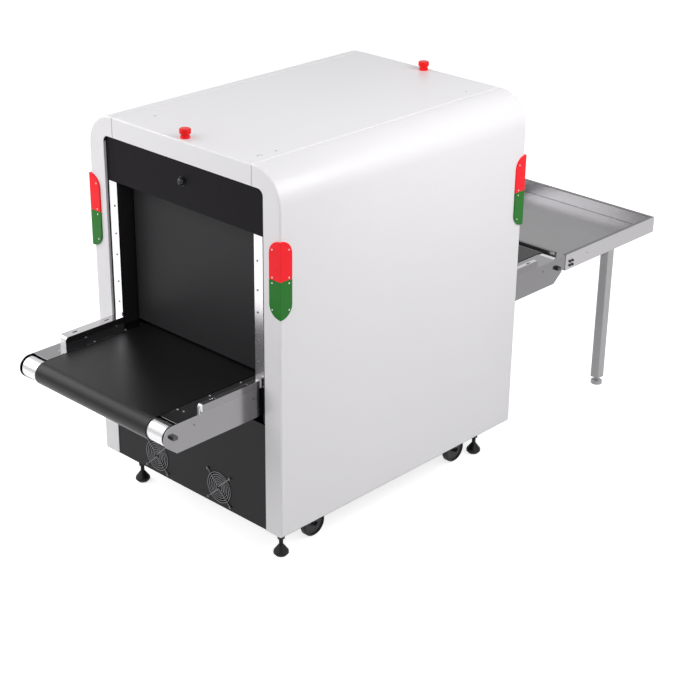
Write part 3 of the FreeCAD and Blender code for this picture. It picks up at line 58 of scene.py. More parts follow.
def finish(name, colour, roughness, metallic=0.0, specular=0.5, coat=0.0, cloud=0.04,
           cloud_scale=3.0, grain_scale=300.0, stretch=(1.0, 1.0, 1.0), relief=0.1, spread=0.05,
           scuff=0.0):
    """Mix one finish: clouded colour, uneven gloss, a fine grain in relief and rare scuffs."""
    material = bpy.data.materials.new(name)
    material.use_nodes = True
    nodes = material.node_tree.nodes
    links = material.node_tree.links
    shader = nodes["Principled BSDF"]
    shader.inputs["Metallic"].default_value = metallic
    shader.inputs["Specular IOR Level"].default_value = specular
    shader.inputs["Coat Weight"].default_value = coat
    shader.inputs["Coat Roughness"].default_value = 0.12
    place = nodes.new("ShaderNodeTexCoord")
    clouds = nodes.new("ShaderNodeTexNoise")
    clouds.inputs["Scale"].default_value = cloud_scale
    clouds.inputs["Detail"].default_value = 3.0
    links.new(place.outputs["Object"], clouds.inputs["Vector"])
    tone = nodes.new("ShaderNodeMapRange")
    tone.inputs["From Min"].default_value = NOISE_LOW
    tone.inputs["From Max"].default_value = NOISE_HIGH
    tone.inputs["To Min"].default_value = 1.0 - cloud
    links.new(clouds.outputs["Fac"], tone.inputs["Value"])
    shade = nodes.new("ShaderNodeMix")
    shade.name = "shade"
    shade.data_type = "RGBA"
    shade.blend_type = "MULTIPLY"
    shade.inputs["Factor"].default_value = 1.0
    shade.inputs["A"].default_value = (*colour, 1.0)
    links.new(tone.outputs["Result"], shade.inputs["B"])
    scratches = nodes.new("ShaderNodeTexNoise")
    scratches.inputs["Scale"].default_value = SCRATCH_SCALE
    scratches.inputs["Detail"].default_value = 8.0
    scratches.inputs["Roughness"].default_value = 0.7
    links.new(place.outputs["Object"], scratches.inputs["Vector"])
    marked = nodes.new("ShaderNodeMapRange")
    marked.inputs["From Min"].default_value = SCRATCH_START
    marked.inputs["From Max"].default_value = SCRATCH_FULL
    marked.inputs["To Max"].default_value = scuff
    links.new(scratches.outputs["Fac"], marked.inputs["Value"])
    worn = nodes.new("ShaderNodeMix")
    worn.name = "worn"
    worn.data_type = "RGBA"
    worn.inputs["B"].default_value = (*[0.75 * channel + 0.10 for channel in colour], 1.0)
    links.new(marked.outputs["Result"], worn.inputs["Factor"])
    links.new(shade.outputs["Result"], worn.inputs["A"])
    links.new(worn.outputs["Result"], shader.inputs["Base Color"])
    along = nodes.new("ShaderNodeMapping")
    along.inputs["Scale"].default_value = stretch
    links.new(place.outputs["Object"], along.inputs["Vector"])
    grain = nodes.new("ShaderNodeTexNoise")
    grain.inputs["Scale"].default_value = grain_scale
    grain.inputs["Detail"].default_value = 3.0
    links.new(along.outputs["Vector"], grain.inputs["Vector"])
    gloss = nodes.new("ShaderNodeMapRange")
    gloss.inputs["From Min"].default_value = NOISE_LOW
    gloss.inputs["From Max"].default_value = NOISE_HIGH
    gloss.inputs["To Min"].default_value = roughness - spread
    gloss.inputs["To Max"].default_value = roughness + spread
    links.new(grain.outputs["Fac"], gloss.inputs["Value"])
    duller = nodes.new("ShaderNodeMath")
    duller.operation = "ADD"
    links.new(gloss.outputs["Result"], duller.inputs[0])
    links.new(marked.outputs["Result"], duller.inputs[1])
    links.new(duller.outputs["Value"], shader.inputs["Roughness"])
    bump = nodes.new("ShaderNodeBump")
    bump.name = "relief"
    bump.inputs["Strength"].default_value = relief
    bump.inputs["Distance"].default_value = GRAIN_DEPTH
    links.new(grain.outputs["Fac"], bump.inputs["Height"])
    links.new(bump.outputs["Normal"], shader.inputs["Normal"])
    return material


def dress(material, *names):
    """Give CAD nodes their finish."""
    for name in names:
        slots = NODES[name].data.materials
        slots.clear()
        slots.append(material)


def rolled_thread(material, low, pitch):
    """Add a rolled thread's rings to a finish above one height."""
    nodes = material.node_tree.nodes
    links = material.node_tree.links
    place = nodes.new("ShaderNodeTexCoord")
    rings = nodes.new("ShaderNodeTexWave")
    rings.bands_direction = "Z"
    rings.inputs["Scale"].default_value = math.pi / (10.0 * pitch)
    links.new(place.outputs["Object"], rings.inputs["Vector"])
    split = nodes.new("ShaderNodeSeparateXYZ")
    links.new(place.outputs["Object"], split.inputs["Vector"])
    above = nodes.new("ShaderNodeMath")
    above.operation = "GREATER_THAN"
    above.inputs[1].default_value = low
    links.new(split.outputs["Z"], above.inputs[0])
    kept = nodes.new("ShaderNodeMath")
    kept.operation = "MULTIPLY"
    links.new(rings.outputs["Fac"], kept.inputs[0])
    links.new(above.outputs["Value"], kept.inputs[1])
    thread = nodes.new("ShaderNodeBump")
    thread.inputs["Strength"].default_value = 0.6
    thread.inputs["Distance"].default_value = 0.0006
    links.new(kept.outputs["Value"], thread.inputs["Height"])
    links.new(nodes["relief"].outputs["Normal"], thread.inputs["Normal"])
    links.new(thread.outputs["Normal"], nodes["Principled BSDF"].inputs["Normal"])


foot_black = finish("foot_black", (0.0045, 0.0045, 0.0050), 0.44, specular=0.24, cloud=0.2,
                    grain_scale=500.0, relief=0.3, scuff=0.12)
rolled_thread(foot_black, THREAD_START, THREAD_PITCH)
dress(foot_black, "levelling_feet")


# Swivel casters: pressed forks, plated with zinc and blackened, under bolted plates, with black
# wheels on moulded centres. Four bolts hold each plate, and a nut stands on each end of the axle.
def deselect():
    """Select nothing, so that an operator acts on its own piece alone."""
    for other in bpy.context.selected_objects:
        other.select_set(False)


def pick_faces(piece, test):
    """Select the faces of a piece in edit mode that pass a test."""
    shape = bmesh.from_edit_mesh(piece.data)
    for face in shape.faces:
        face.select = test(face)
    shape.select_flush_mode()
    bmesh.update_edit_mesh(piece.data)


def model_head(name, sides, radius, height, socket, depth):
    """Model one bolt head pointing up: a drum with an eased rim and a sunk socket."""
    deselect()
    bpy.ops.mesh.primitive_cylinder_add(vertices=sides, radius=radius, depth=height,
                                        location=(0, 0, height / 2))
    head = bpy.context.object
    head.name = name
    bpy.ops.object.transform_apply(location=True, rotation=True, scale=True)
    bpy.ops.object.mode_set(mode="EDIT")
    bpy.context.tool_settings.mesh_select_mode = (False, False, True)
    pick_faces(head, lambda face: face.normal.z > 0.9)
    bpy.ops.mesh.inset(thickness=height * 0.25, depth=0.0)
    bpy.ops.transform.translate(value=(0, 0, height * 0.18))
    bpy.ops.mesh.inset(thickness=radius - height * 0.25 - socket, depth=0.0)
    bpy.ops.mesh.extrude_region_move(TRANSFORM_OT_translate={"value": (0, 0, -depth)})
    bpy.ops.object.mode_set(mode="OBJECT")
    return head


def set_copies(template, name, places, material, body="cabinet"):
    """Set a copy of a modelled piece at each (place, outward direction), joined as one piece."""
    joined = bmesh.new()
    for place, outward in places:
        turn = Vector(outward).to_track_quat("Z", "Y").to_matrix().to_4x4()
        part = template.data.copy()
        part.transform(Matrix.Translation(place) @ turn)
        joined.from_mesh(part)
        bpy.data.meshes.remove(part)
    mesh = bpy.data.meshes.new(name)
    joined.to_mesh(mesh)
    joined.free()
    group = bpy.data.objects.new(name, mesh)
    bpy.context.scene.collection.objects.link(group)
    deselect()
    bpy.context.view_layer.objects.active = group
    group.select_set(True)
    bpy.ops.object.shade_smooth_by_angle(angle=math.radians(35))
    group.data.materials.clear()
    group.data.materials.append(material)
    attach(group, body)
    return group


def clear_away(*templates):
    """Take away the templates once their copies are set."""
    for template in templates:
        bpy.data.objects.remove(template)


def wheel_finish(name, hub_x, hub_z, rim):
    """Mix a wheel's finish: a greyer centre inside the rim and black rubber outside it."""
    material = finish(name, (0.009, 0.009, 0.010), 0.5, specular=0.30, grain_scale=450.0,
                      relief=0.25, scuff=0.10)
    nodes = material.node_tree.nodes
    links = material.node_tree.links
    place = nodes.new("ShaderNodeTexCoord")
    centre = nodes.new("ShaderNodeMapping")
    centre.inputs["Location"].default_value = (-hub_x, 0.0, -hub_z)
    centre.inputs["Scale"].default_value = (1.0, 0.0, 1.0)
    links.new(place.outputs["Object"], centre.inputs["Vector"])
    length = nodes.new("ShaderNodeVectorMath")
    length.operation = "LENGTH"
    links.new(centre.outputs["Vector"], length.inputs[0])
    inside = nodes.new("ShaderNodeMath")
    inside.operation = "LESS_THAN"
    inside.inputs[1].default_value = rim
    links.new(length.outputs["Value"], inside.inputs[0])
    centre_grey = nodes.new("ShaderNodeMix")
    centre_grey.data_type = "RGBA"
    centre_grey.inputs["B"].default_value = (0.026, 0.026, 0.028, 1.0)
    links.new(inside.outputs["Value"], centre_grey.inputs["Factor"])
    links.new(nodes["worn"].outputs["Result"], centre_grey.inputs["A"])
    links.new(centre_grey.outputs["Result"], nodes["Principled BSDF"].inputs["Base Color"])
    return material


CASTER_RIM = 0.040
CASTER_TRAIL = 0.026
PLATE_REACH = 0.035
PLATE_SHEET = 0.004
BOLT_INSET = 0.010
NUT_SEAT = 0.0015
zinc = finish("zinc", (0.42, 0.42, 0.44), 0.32, metallic=1.0, cloud=0.12, cloud_scale=25.0,
              grain_scale=350.0, relief=0.12, scuff=0.1)
black_zinc = finish("black_zinc", (0.045, 0.044, 0.048), 0.38, metallic=1.0, cloud=0.2,
                    cloud_scale=25.0, grain_scale=350.0, relief=0.15, scuff=0.05)
dress(zinc, "caster_mounts")
plate_bolt = model_head("plate_bolt", 6, 0.0052, 0.0035, 0.0025, 0.0008)
axle_nut = model_head("axle_nut", 6, 0.0080, 0.0040, 0.0046, 0.0006)
under_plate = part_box("caster_mounts")[1].z - PLATE_SHEET
plate_places = []
for end in ("entry", "exit"):
    for side in ("near", "far"):
        fork = "%s_%s_caster_fork" % (end, side)
        wheel = "%s_%s_caster_wheel" % (end, side)
        low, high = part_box(wheel)
        hub = (low + high) / 2
        dress(wheel_finish(wheel + "_rubber", hub.x, hub.z, CASTER_RIM), wheel)
        dress(black_zinc, fork)
        fork_low, fork_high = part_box(fork)
        nut_places = [((hub.x, fork_low.y + NUT_SEAT, hub.z), (0, -1, 0)),
                      ((hub.x, fork_high.y - NUT_SEAT, hub.z), (0, 1, 0))]
        set_copies(axle_nut, fork + "_nuts", nut_places, black_zinc, body=fork)
        swivel_x = hub.x - CASTER_TRAIL
        reach = PLATE_REACH - BOLT_INSET
        for sx in (-1, 1):
            for sy in (-1, 1):
                plate_places.append(((swivel_x + sx * reach, hub.y + sy * reach, under_plate),
                                     (0, 0, -1)))
set_copies(plate_bolt, "caster_plate_bolts", plate_places, zinc)
clear_away(plate_bolt, axle_nut)


# Floor plate: thick steel under the whole cabinet, powder coated black, with a slightly rough
# coat.
black_coat = finish("black_coat", (0.0090, 0.0084, 0.0095), 0.46, specular=0.24, cloud=0.15,
                    grain_scale=700.0, relief=0.35, spread=0.07, scuff=0.03)
dress(black_coat, "floor_plate")


# Side shells: each long side is one steel sheet with its round shoulder and corner posts, powder
# coated satin white. The bends at the cabinet's ends are soft, and the coat has a faint grain.
BEND_RADIUS = 0.006
EDGE_RADIUS = 0.0007
CABINET_MIDDLE = -0.295
CABINET_END = 0.575
CABINET_SIDE = 0.4375
CABINET_TOP = 1.350
SHOULDER = 0.110
white_coat = finish("white_coat", (0.800, 0.786, 0.806), 0.40, specular=0.5, coat=0.12, cloud=0.02,
                    cloud_scale=1.6, grain_scale=420.0, relief=0.10, spread=0.05, scuff=0.015)


def merged_copy(node, name):
    """Copy a CAD node, join its loose triangles and clear the lines inside its flat faces."""
    deselect()
    copy = bpy.data.objects.new(name, NODES[node].data.copy())
    bpy.context.scene.collection.objects.link(copy)
    bpy.context.view_layer.objects.active = copy
    copy.select_set(True)
    if copy.data.has_custom_normals:
        bpy.ops.mesh.customdata_custom_splitnormals_clear()
    bpy.ops.object.mode_set(mode="EDIT")
    bpy.ops.mesh.select_all(action="SELECT")
    bpy.ops.mesh.remove_doubles(threshold=0.00002)
    bpy.ops.mesh.dissolve_limited(angle_limit=math.radians(0.3))
    bpy.ops.mesh.select_all(action="DESELECT")
    bpy.ops.object.mode_set(mode="OBJECT")
    return copy


def round_edges(piece, radius, steps, test):
    """Round the sharp edges of a piece that pass a test."""
    bpy.ops.object.mode_set(mode="EDIT")
    bpy.context.tool_settings.mesh_select_mode = (False, True, False)
    shape = bmesh.from_edit_mesh(piece.data)
    for edge in shape.edges:
        sharp = len(edge.link_faces) == 2 and edge.calc_face_angle(0.0) > math.radians(50)
        edge.select = sharp and test(edge.verts[0].co) and test(edge.verts[1].co)
    shape.select_flush_mode()
    bmesh.update_edit_mesh(piece.data)
    bpy.ops.mesh.bevel(offset=radius, segments=steps, affect="EDGES")
    bpy.ops.object.mode_set(mode="OBJECT")


def ease_edges(piece, width, steps=2):
    """Ease every sharp edge of a piece by a small bevel and smooth what is round."""
    bevel = piece.modifiers.new("eased", "BEVEL")
    bevel.width = width
    bevel.segments = steps
    bevel.limit_method = "ANGLE"
    bevel.angle_limit = math.radians(40)
    bevel.use_clamp_overlap = True
    deselect()
    bpy.context.view_layer.objects.active = piece
    piece.select_set(True)
    bpy.ops.object.modifier_apply(modifier="eased")
    bpy.ops.object.shade_smooth_by_angle(angle=math.radians(35))
    level = piece.modifiers.new("level", "WEIGHTED_NORMAL")
    level.weight = 90
    level.keep_sharp = True
    bpy.ops.object.modifier_apply(modifier="level")


def stand_in(piece, node, material, body="cabinet"):
    """Show a finished copy in place of its CAD node."""
    piece.data.materials.clear()
    piece.data.materials.append(material)
    dress(material, node)
    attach(piece, body)
    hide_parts(node)


def on_end_bend(spot):
    """Tell whether a point of a shell lies on the bend between its outside and an end face."""
    if abs(abs(spot.x - CABINET_MIDDLE) - CABINET_END) > 0.0002:
        return False
    across = abs(spot.y) - (CABINET_SIDE - SHOULDER)
    up = spot.z - (CABINET_TOP - SHOULDER)
    on_side = abs(abs(spot.y) - CABINET_SIDE) < 0.0002
    on_top = abs(spot.z - CABINET_TOP) < 0.0002
    on_shoulder = across > 0 and up > 0 and abs(math.hypot(across, up) - SHOULDER) < 0.0006
    return on_side or on_top or on_shoulder


for side in ("near", "far"):
    shell = merged_copy(side + "_side_shell", side + "_shell_sheet")
    round_edges(shell, BEND_RADIUS, 3, on_end_bend)
    ease_edges(shell, EDGE_RADIUS)
    stand_in(shell, side + "_side_shell", white_coat)


# Top cover: one white sheet between the two seams, with its ends bent down over the tunnel mouths.
# Small pan-head screws hold it along its seams.
COVER_SCREWS = ((-0.440, -0.283), (-0.508, -0.276), (-0.498, -0.282), (-0.468, 0.235),
                (0.450, -0.274))
cover = merged_copy("top_cover", "cover_sheet")
round_edges(cover, BEND_RADIUS, 3,
            lambda spot: abs(abs(spot.x - CABINET_MIDDLE) - CABINET_END) < 0.0002
            and abs(spot.z - CABINET_TOP) < 0.0002)
ease_edges(cover, EDGE_RADIUS)
stand_in(cover, "top_cover", white_coat)
screw_steel = finish("screw_steel", (0.62, 0.61, 0.63), 0.34, metallic=1.0, cloud=0.1,
                     cloud_scale=60.0, grain_scale=900.0, relief=0.1)
cover_screw = model_head("cover_screw", 20, 0.0036, 0.0014, 0.0014, 0.0007)
set_copies(cover_screw, "cover_screws",
           [((x + CABINET_MIDDLE, y, CABINET_TOP), (0, 0, 1)) for x, y in COVER_SCREWS],
           screw_steel)
clear_away(cover_screw)


# Tunnel hoods: black sheets set back into each mouth, with the hood above the tunnel and a leg
# beside it. Same black coat as the floor plate, with a smoother face.
hood_coat = finish("hood_coat", (0.0068, 0.0054, 0.0076), 0.42, specular=0.07, cloud=0.08,
                   grain_scale=650.0, relief=0.22, spread=0.05, scuff=0.02)
hoods = merged_copy("tunnel_hoods", "hood_sheets")
ease_edges(hoods, EDGE_RADIUS)
stand_in(hoods, "tunnel_hoods", hood_coat)


# Tunnel lining: one folded sheet, painted black inside like the hoods but duller, so that the
# tunnel reads as dark.
lining_coat = finish("lining_coat", (0.0120, 0.0115, 0.0125), 0.55, specular=0.25, cloud=0.2,
                     grain_scale=500.0, relief=0.3, scuff=0.05)
dress(lining_coat, "tunnel_lining")


# Jamb strips: bright brushed stainless beside each mouth, held by five rivets each. The brushing
# runs up the strip.
RIVET_LEVELS = (1.050, 0.955, 0.882, 0.787, 0.715)
RIVET_ACROSS = 0.332
strip_steel = finish("strip_steel", (0.80, 0.78, 0.805), 0.20, metallic=1.0, cloud=0.06,
                     grain_scale=900.0, stretch=(1.0, 1.0, 0.03), relief=0.06, spread=0.04)
strips = merged_copy("jamb_strips", "jamb_strip_sheets")
ease_edges(strips, 0.0004)
stand_in(strips, "jamb_strips", strip_steel)
rivet_steel = finish("rivet_steel", (0.20, 0.20, 0.21), 0.36, metallic=1.0, cloud=0.1,
                     cloud_scale=80.0, grain_scale=900.0, relief=0.1)
rivet = model_head("rivet", 16, 0.0034, 0.0013, 0.0012, 0.0006)
strip_low, strip_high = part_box("jamb_strips")
rivet_places = []
for level in RIVET_LEVELS:
    for across in (-RIVET_ACROSS, RIVET_ACROSS):
        rivet_places.append(((strip_low.x, across, level), (-1, 0, 0)))
        rivet_places.append(((strip_high.x, across, level), (1, 0, 0)))
set_copies(rivet, "jamb_rivets", rivet_places, rivet_steel)
clear_away(rivet)


# Curtains: dark lead rubber, hung from a steel rod inside each mouth. The rubber is dull, with a
# slight bloom and soft upright waves where its strips overlap.
curtain_rubber = finish("curtain_rubber", (0.022, 0.021, 0.023), 0.52, specular=0.20, cloud=0.12,
                        cloud_scale=2.2, grain_scale=420.0, relief=0.30, spread=0.06, scuff=0.04)
dress(curtain_rubber, "entry_curtain", "exit_curtain")
dress(zinc, "curtain_rods")


# Camera domes: smoked glossy plastic in a thin bezel, moulded in one piece. Each is pressed into a
# hole in the middle of a hood, and looks out over the belt.
smoked_dome = finish("smoked_dome", (0.0040, 0.0038, 0.0045), 0.24, specular=0.3, coat=0.1,
                     cloud=0.1, grain_scale=200.0, relief=0.02, spread=0.02)
domes = merged_copy("hood_domes", "dome_mouldings")
ease_edges(domes, 0.0004)
stand_in(domes, "hood_domes", smoked_dome)


# Lower panels: black powder-coated sheets that close the cabinet under the conveyor. Each is set
# back between the corner posts and has two round fan openings cut through it.
panel_coat = finish("panel_coat", (0.0040, 0.0034, 0.0044), 0.44, specular=0.17, cloud=0.15,
                    grain_scale=650.0, relief=0.3, spread=0.06, scuff=0.03)
panels = merged_copy("lower_panels", "lower_panel_sheets")
ease_edges(panels, 0.0005)
stand_in(panels, "lower_panels", panel_coat)


# Fans: black glass-filled mouldings behind the panels, with seven-bladed rotors on bearing pins.
# Dark wire guards with welded rings cover the openings, each held by four screws.
fan_moulding = finish("fan_moulding", (0.0060, 0.0060, 0.0065), 0.50, specular=0.25, cloud=0.15,
                      grain_scale=800.0, relief=0.3)
dress(fan_moulding, "fan_housings")
rotor_moulding = finish("rotor_moulding", (0.0070, 0.0070, 0.0075), 0.36, specular=0.30, cloud=0.1,
                        grain_scale=600.0, relief=0.15)
dress(rotor_moulding, "entry_near_fan_rotor", "entry_far_fan_rotor", "exit_near_fan_rotor",
      "exit_far_fan_rotor")
guard_wire = finish("guard_wire", (0.24, 0.24, 0.25), 0.30, metallic=1.0, cloud=0.1,
                    cloud_scale=30.0, grain_scale=500.0, relief=0.1)
dress(guard_wire, "fan_guards")
FAN_LEVEL = 0.203
FAN_ACROSS = (-0.145, 0.163)
FAN_SCREW = 0.0525
guard_low, guard_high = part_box("fan_guards")
guard_screw = model_head("guard_screw", 20, 0.0034, 0.0016, 0.0015, 0.0008)
screw_places = []
for middle in FAN_ACROSS:
    for sy in (-1, 1):
        for sz in (-1, 1):
            spot = (middle + sy * FAN_SCREW, FAN_LEVEL + sz * FAN_SCREW)
            screw_places.append(((guard_low.x, *spot), (-1, 0, 0)))
            screw_places.append(((guard_high.x, *spot), (1, 0, 0)))
set_copies(guard_screw, "guard_screws", screw_places, rivet_steel)
clear_away(guard_screw)


# Conveyor side plates: folded stainless sheet, brushed along the belt, with a round nose at each
# end and a flange beside the belt. Small screws in the webs and flanges hold what is inside.
PLATE_FACE = 0.348
WEB_SCREWS = (-0.8475, -0.608)
WEB_SCREW_LEVEL = 0.609
FLANGE_DOTS = ((-0.850, 0.2775), (-0.846, 0.300), (-0.721, 0.2775), (-0.592, 0.2775))
NEAR_FLANGE_DOTS = ((-0.716, -0.298), (-0.700, -0.298))
FLANGE_LEVEL = 0.6365
plate_steel = finish("plate_steel", (0.22, 0.215, 0.223), 0.17, metallic=1.0, cloud=0.06,
                     cloud_scale=2.5, grain_scale=900.0, stretch=(0.03, 1.0, 1.0), relief=0.05,
                     spread=0.03, scuff=0.02)


def faces_at(material, axis, level, margin):
    """Give 1 where a sheet's faces lie at one place along an axis."""
    nodes = material.node_tree.nodes
    links = material.node_tree.links
    place = nodes.new("ShaderNodeTexCoord")
    split = nodes.new("ShaderNodeSeparateXYZ")
    links.new(place.outputs["Object"], split.inputs["Vector"])
    near = nodes.new("ShaderNodeMath")
    near.operation = "COMPARE"
    near.inputs[1].default_value = level
    near.inputs[2].default_value = margin
    links.new(split.outputs[axis], near.inputs[0])
    return near.outputs["Value"]


def paint_light_on_faces(material, axis, level, margin, tone):
    """Paint a sheet's faces at one place a flat tone of their own, lighter or darker than the rest:
    painted highlight and painted shade.
    """
    nodes = material.node_tree.nodes
    links = material.node_tree.links
    base = nodes["Principled BSDF"].inputs["Base Color"]
    tint = nodes.new("ShaderNodeMix")
    tint.data_type = "RGBA"
    tint.inputs["B"].default_value = (tone, tone * 0.98, tone * 1.01, 1.0)
    links.new(faces_at(material, axis, level, margin), tint.inputs["Factor"])
    links.new(base.links[0].from_socket, tint.inputs["A"])
    links.new(tint.outputs["Result"], base)


# The flanges' top faces get a lighter tone than the webs: painted reflection.
paint_light_on_faces(plate_steel, "Z", FLANGE_LEVEL, 0.0015, 0.27)
for side in ("near", "far"):
    plate = merged_copy(side + "_conveyor_plate", side + "_plate_sheet")
    ease_edges(plate, 0.0005)
    stand_in(plate, side + "_conveyor_plate", plate_steel)
web_screw = model_head("web_screw", 20, 0.0032, 0.0010, 0.0013, 0.0006)
flange_screw = model_head("flange_screw", 20, 0.0030, 0.0010, 0.0012, 0.0006)
web_places = []
flange_places = []
for x in WEB_SCREWS:
    for turn in (-1, 1):
        for side in (-1, 1):
            web_places.append(((turn * x + CABINET_MIDDLE, side * PLATE_FACE, WEB_SCREW_LEVEL),
                               (0, side, 0)))
for turn in (-1, 1):
    for x, y in FLANGE_DOTS:
        for side in (-1, 1):
            flange_places.append(((turn * x + CABINET_MIDDLE, side * y, FLANGE_LEVEL), (0, 0, 1)))
    for x, y in NEAR_FLANGE_DOTS:
        flange_places.append(((turn * x + CABINET_MIDDLE, y, FLANGE_LEVEL), (0, 0, 1)))
set_copies(web_screw, "web_screws", web_places, rivet_steel)
set_copies(flange_screw, "flange_screws", flange_places, screw_steel)
clear_away(web_screw, flange_screw)


# Inside the conveyor: zinc-plated square tubes, a folded stainless slider bed under the belt, and
# steel end rollers that turn on fixed steel axles, coloured dark as painted shade for the shadowed
# slots their ends sit in. The rollers are turned bright.
axle_slot_shade = finish("axle_slot_shade", (0.080, 0.079, 0.082), 0.30, metallic=1.0, cloud=0.15,
                    cloud_scale=40.0, grain_scale=600.0, relief=0.1, scuff=0.1)
dress(zinc, "conveyor_cross_tubes")
dress(axle_slot_shade, "roller_axles")
bed_steel = finish("bed_steel", (0.50, 0.49, 0.50), 0.28, metallic=1.0, cloud=0.08,
                   grain_scale=400.0, stretch=(0.02, 1.0, 1.0), relief=0.1)
dress(bed_steel, "slider_bed")
roller_steel = finish("roller_steel", (0.66, 0.66, 0.67), 0.24, metallic=1.0, cloud=0.05,
                      grain_scale=500.0, stretch=(1.0, 0.03, 1.0), relief=0.08)
for end in ("entry", "exit"):
    roller = merged_copy(end + "_roller", end + "_roller_tube")
    ease_edges(roller, 0.0008)
    stand_in(roller, end + "_roller", roller_steel, body=end + "_roller")


# Belt: a black PVC belt run round both rollers, with a fine pebbled carrying face.
belt_rubber = finish("belt_rubber", (0.0046, 0.0040, 0.0048), 0.38, specular=0.28, cloud=0.2,
                     cloud_scale=2.0, grain_scale=900.0, relief=0.45, spread=0.08, scuff=0.05)
dress(belt_rubber, "conveyor_belt")


# Side rails: low folded channels of brushed stainless that stand on the flanges outside the
# tunnel, with rounded outer ends and two slots each for their screws. The near ones are lower.
rail_steel = finish("rail_steel", (0.56, 0.55, 0.565), 0.13, metallic=1.0, cloud=0.06,
                    cloud_scale=4.0, grain_scale=900.0, stretch=(0.03, 1.0, 1.0), relief=0.05,
                    spread=0.03)
# The near rails' outer walls get a much darker tone than the rest: painted shade.
paint_light_on_faces(rail_steel, "Y", -PLATE_FACE, 0.0015, 0.20)
rails = merged_copy("side_rails", "rail_sheets")
ease_edges(rails, 0.0005)
stand_in(rails, "side_rails", rail_steel)


# Traffic lights: red over green mouldings folded round the four corners, glossy and slightly
# milky, each held by a small bright screw near its outer edges.
LENS_SCREW_REACH = 0.030
LENS_SCREW_LEVELS = (1.110, 1.022, 1.004, 0.918)
red_lens = finish("red_lens", (1.0, 0.006, 0.016), 0.34, specular=0.20, coat=0.03, cloud=0.06,
                  cloud_scale=12.0, grain_scale=120.0, relief=0.03, spread=0.04)
green_lens = finish("green_lens", (0.006, 0.165, 0.008), 0.34, specular=0.20, coat=0.03, cloud=0.06,
                    cloud_scale=12.0, grain_scale=120.0, relief=0.03, spread=0.04)
for colour, moulding in (("red", red_lens), ("green", green_lens)):
    lenses = merged_copy(colour + "_lenses", colour + "_lens_mouldings")
    ease_edges(lenses, 0.0012, 3)
    stand_in(lenses, colour + "_lenses", moulding)
lens_screw_steel = finish("lens_screw_steel", (0.66, 0.66, 0.67), 0.25, metallic=1.0, cloud=0.05,
                          cloud_scale=90.0, grain_scale=900.0, relief=0.05)
lens_screw = model_head("lens_screw", 16, 0.0026, 0.0009, 0.0010, 0.0005)
lens_low, lens_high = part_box("red_lenses")
lens_places = []
for level in LENS_SCREW_LEVELS:
    for sx, face_x in ((-1, lens_low.x), (1, lens_high.x)):
        for sy, face_y in ((-1, lens_low.y), (1, lens_high.y)):
            on_end = sy * (CABINET_SIDE - LENS_SCREW_REACH)
            on_side = CABINET_MIDDLE + sx * (CABINET_END - LENS_SCREW_REACH)
            lens_places.append(((face_x, on_end, level), (sx, 0, 0)))
            lens_places.append(((on_side, face_y, level), (0, sy, 0)))
set_copies(lens_screw, "lens_screws", lens_places, lens_screw_steel)
clear_away(lens_screw)


# Emergency stops: mushroom heads moulded in red plastic, on stems that press down through red
# collars. Nuts under the top cover hold the collars.
stop_moulding = finish("stop_moulding", (0.82, 0.004, 0.006), 0.34, specular=0.22, coat=0.04,
                       cloud=0.05, cloud_scale=30.0, grain_scale=700.0, relief=0.06)
for end in ("entry", "exit"):
    head = merged_copy(end + "_stop_button", end + "_stop_moulding")
    ease_edges(head, 0.0006)
    stand_in(head, end + "_stop_button", stop_moulding, body=end + "_stop_button")
collars = merged_copy("stop_collars", "stop_collar_rings")
ease_edges(collars, 0.0005)
stand_in(collars, "stop_collars", stop_moulding)


# Outfeed tray: a folded stainless pan, brushed, whose rim is turned in, bolted through two
# brackets to the conveyor. Four socket bolts stand on each side, with a small rivet beyond them.
BOLT_COLUMNS = (1.011, 1.027)
BOLT_LEVELS = (0.588, 0.604)
RIVET_PLACE = (1.118, 0.609)
TRAY_FLOOR = 0.580
TRAY_RIM = 0.635
TRAY_WALL = 0.3455
tray_steel = finish("tray_steel", (0.70, 0.69, 0.705), 0.30, metallic=1.0, cloud=0.05,
                    cloud_scale=2.0, grain_scale=900.0, stretch=(1.0, 0.03, 1.0), relief=0.05,
                    spread=0.03, scuff=0.02)


def satin_walls(material, wall, margin, metal):
    """Make both inner walls satin: their brushing scatters more light than it mirrors."""
    nodes = material.node_tree.nodes
    links = material.node_tree.links
    either = nodes.new("ShaderNodeMath")
    either.operation = "MAXIMUM"
    links.new(faces_at(material, "Y", -wall, margin), either.inputs[0])
    links.new(faces_at(material, "Y", wall, margin), either.inputs[1])
    kept = nodes.new("ShaderNodeMapRange")
    kept.inputs["To Min"].default_value = 1.0
    kept.inputs["To Max"].default_value = metal
    links.new(either.outputs["Value"], kept.inputs["Value"])
    links.new(kept.outputs["Result"], nodes["Principled BSDF"].inputs["Metallic"])


# Painted light on the tray: the inner walls are painted lighter as a painted highlight; the floor,
# turned-in rim and near outer face are painted darker as painted shade.
paint_light_on_faces(tray_steel, "Y", -TRAY_WALL, 0.0008, 0.92)
paint_light_on_faces(tray_steel, "Y", TRAY_WALL, 0.0008, 0.92)
satin_walls(tray_steel, TRAY_WALL, 0.0008, 0.25)
paint_light_on_faces(tray_steel, "Z", TRAY_FLOOR, 0.0015, 0.25)
paint_light_on_faces(tray_steel, "Z", TRAY_RIM, 0.0015, 0.14)
paint_light_on_faces(tray_steel, "Y", -PLATE_FACE, 0.0009, 0.45)
tray = merged_copy("outfeed_tray", "tray_sheet")
ease_edges(tray, 0.0006)
stand_in(tray, "outfeed_tray", tray_steel)
dress(plate_steel, "tray_brackets")
black_steel = finish("black_steel", (0.030, 0.030, 0.032), 0.32, metallic=0.6, cloud=0.1,
                     cloud_scale=60.0, grain_scale=900.0, relief=0.1)
tray_bolt = model_head("tray_bolt", 20, 0.0052, 0.0036, 0.0026, 0.0022)
tray_rivet = model_head("tray_rivet", 16, 0.0026, 0.0006, 0.0012, 0.0004)
bolt_places = []
rivet_places = []
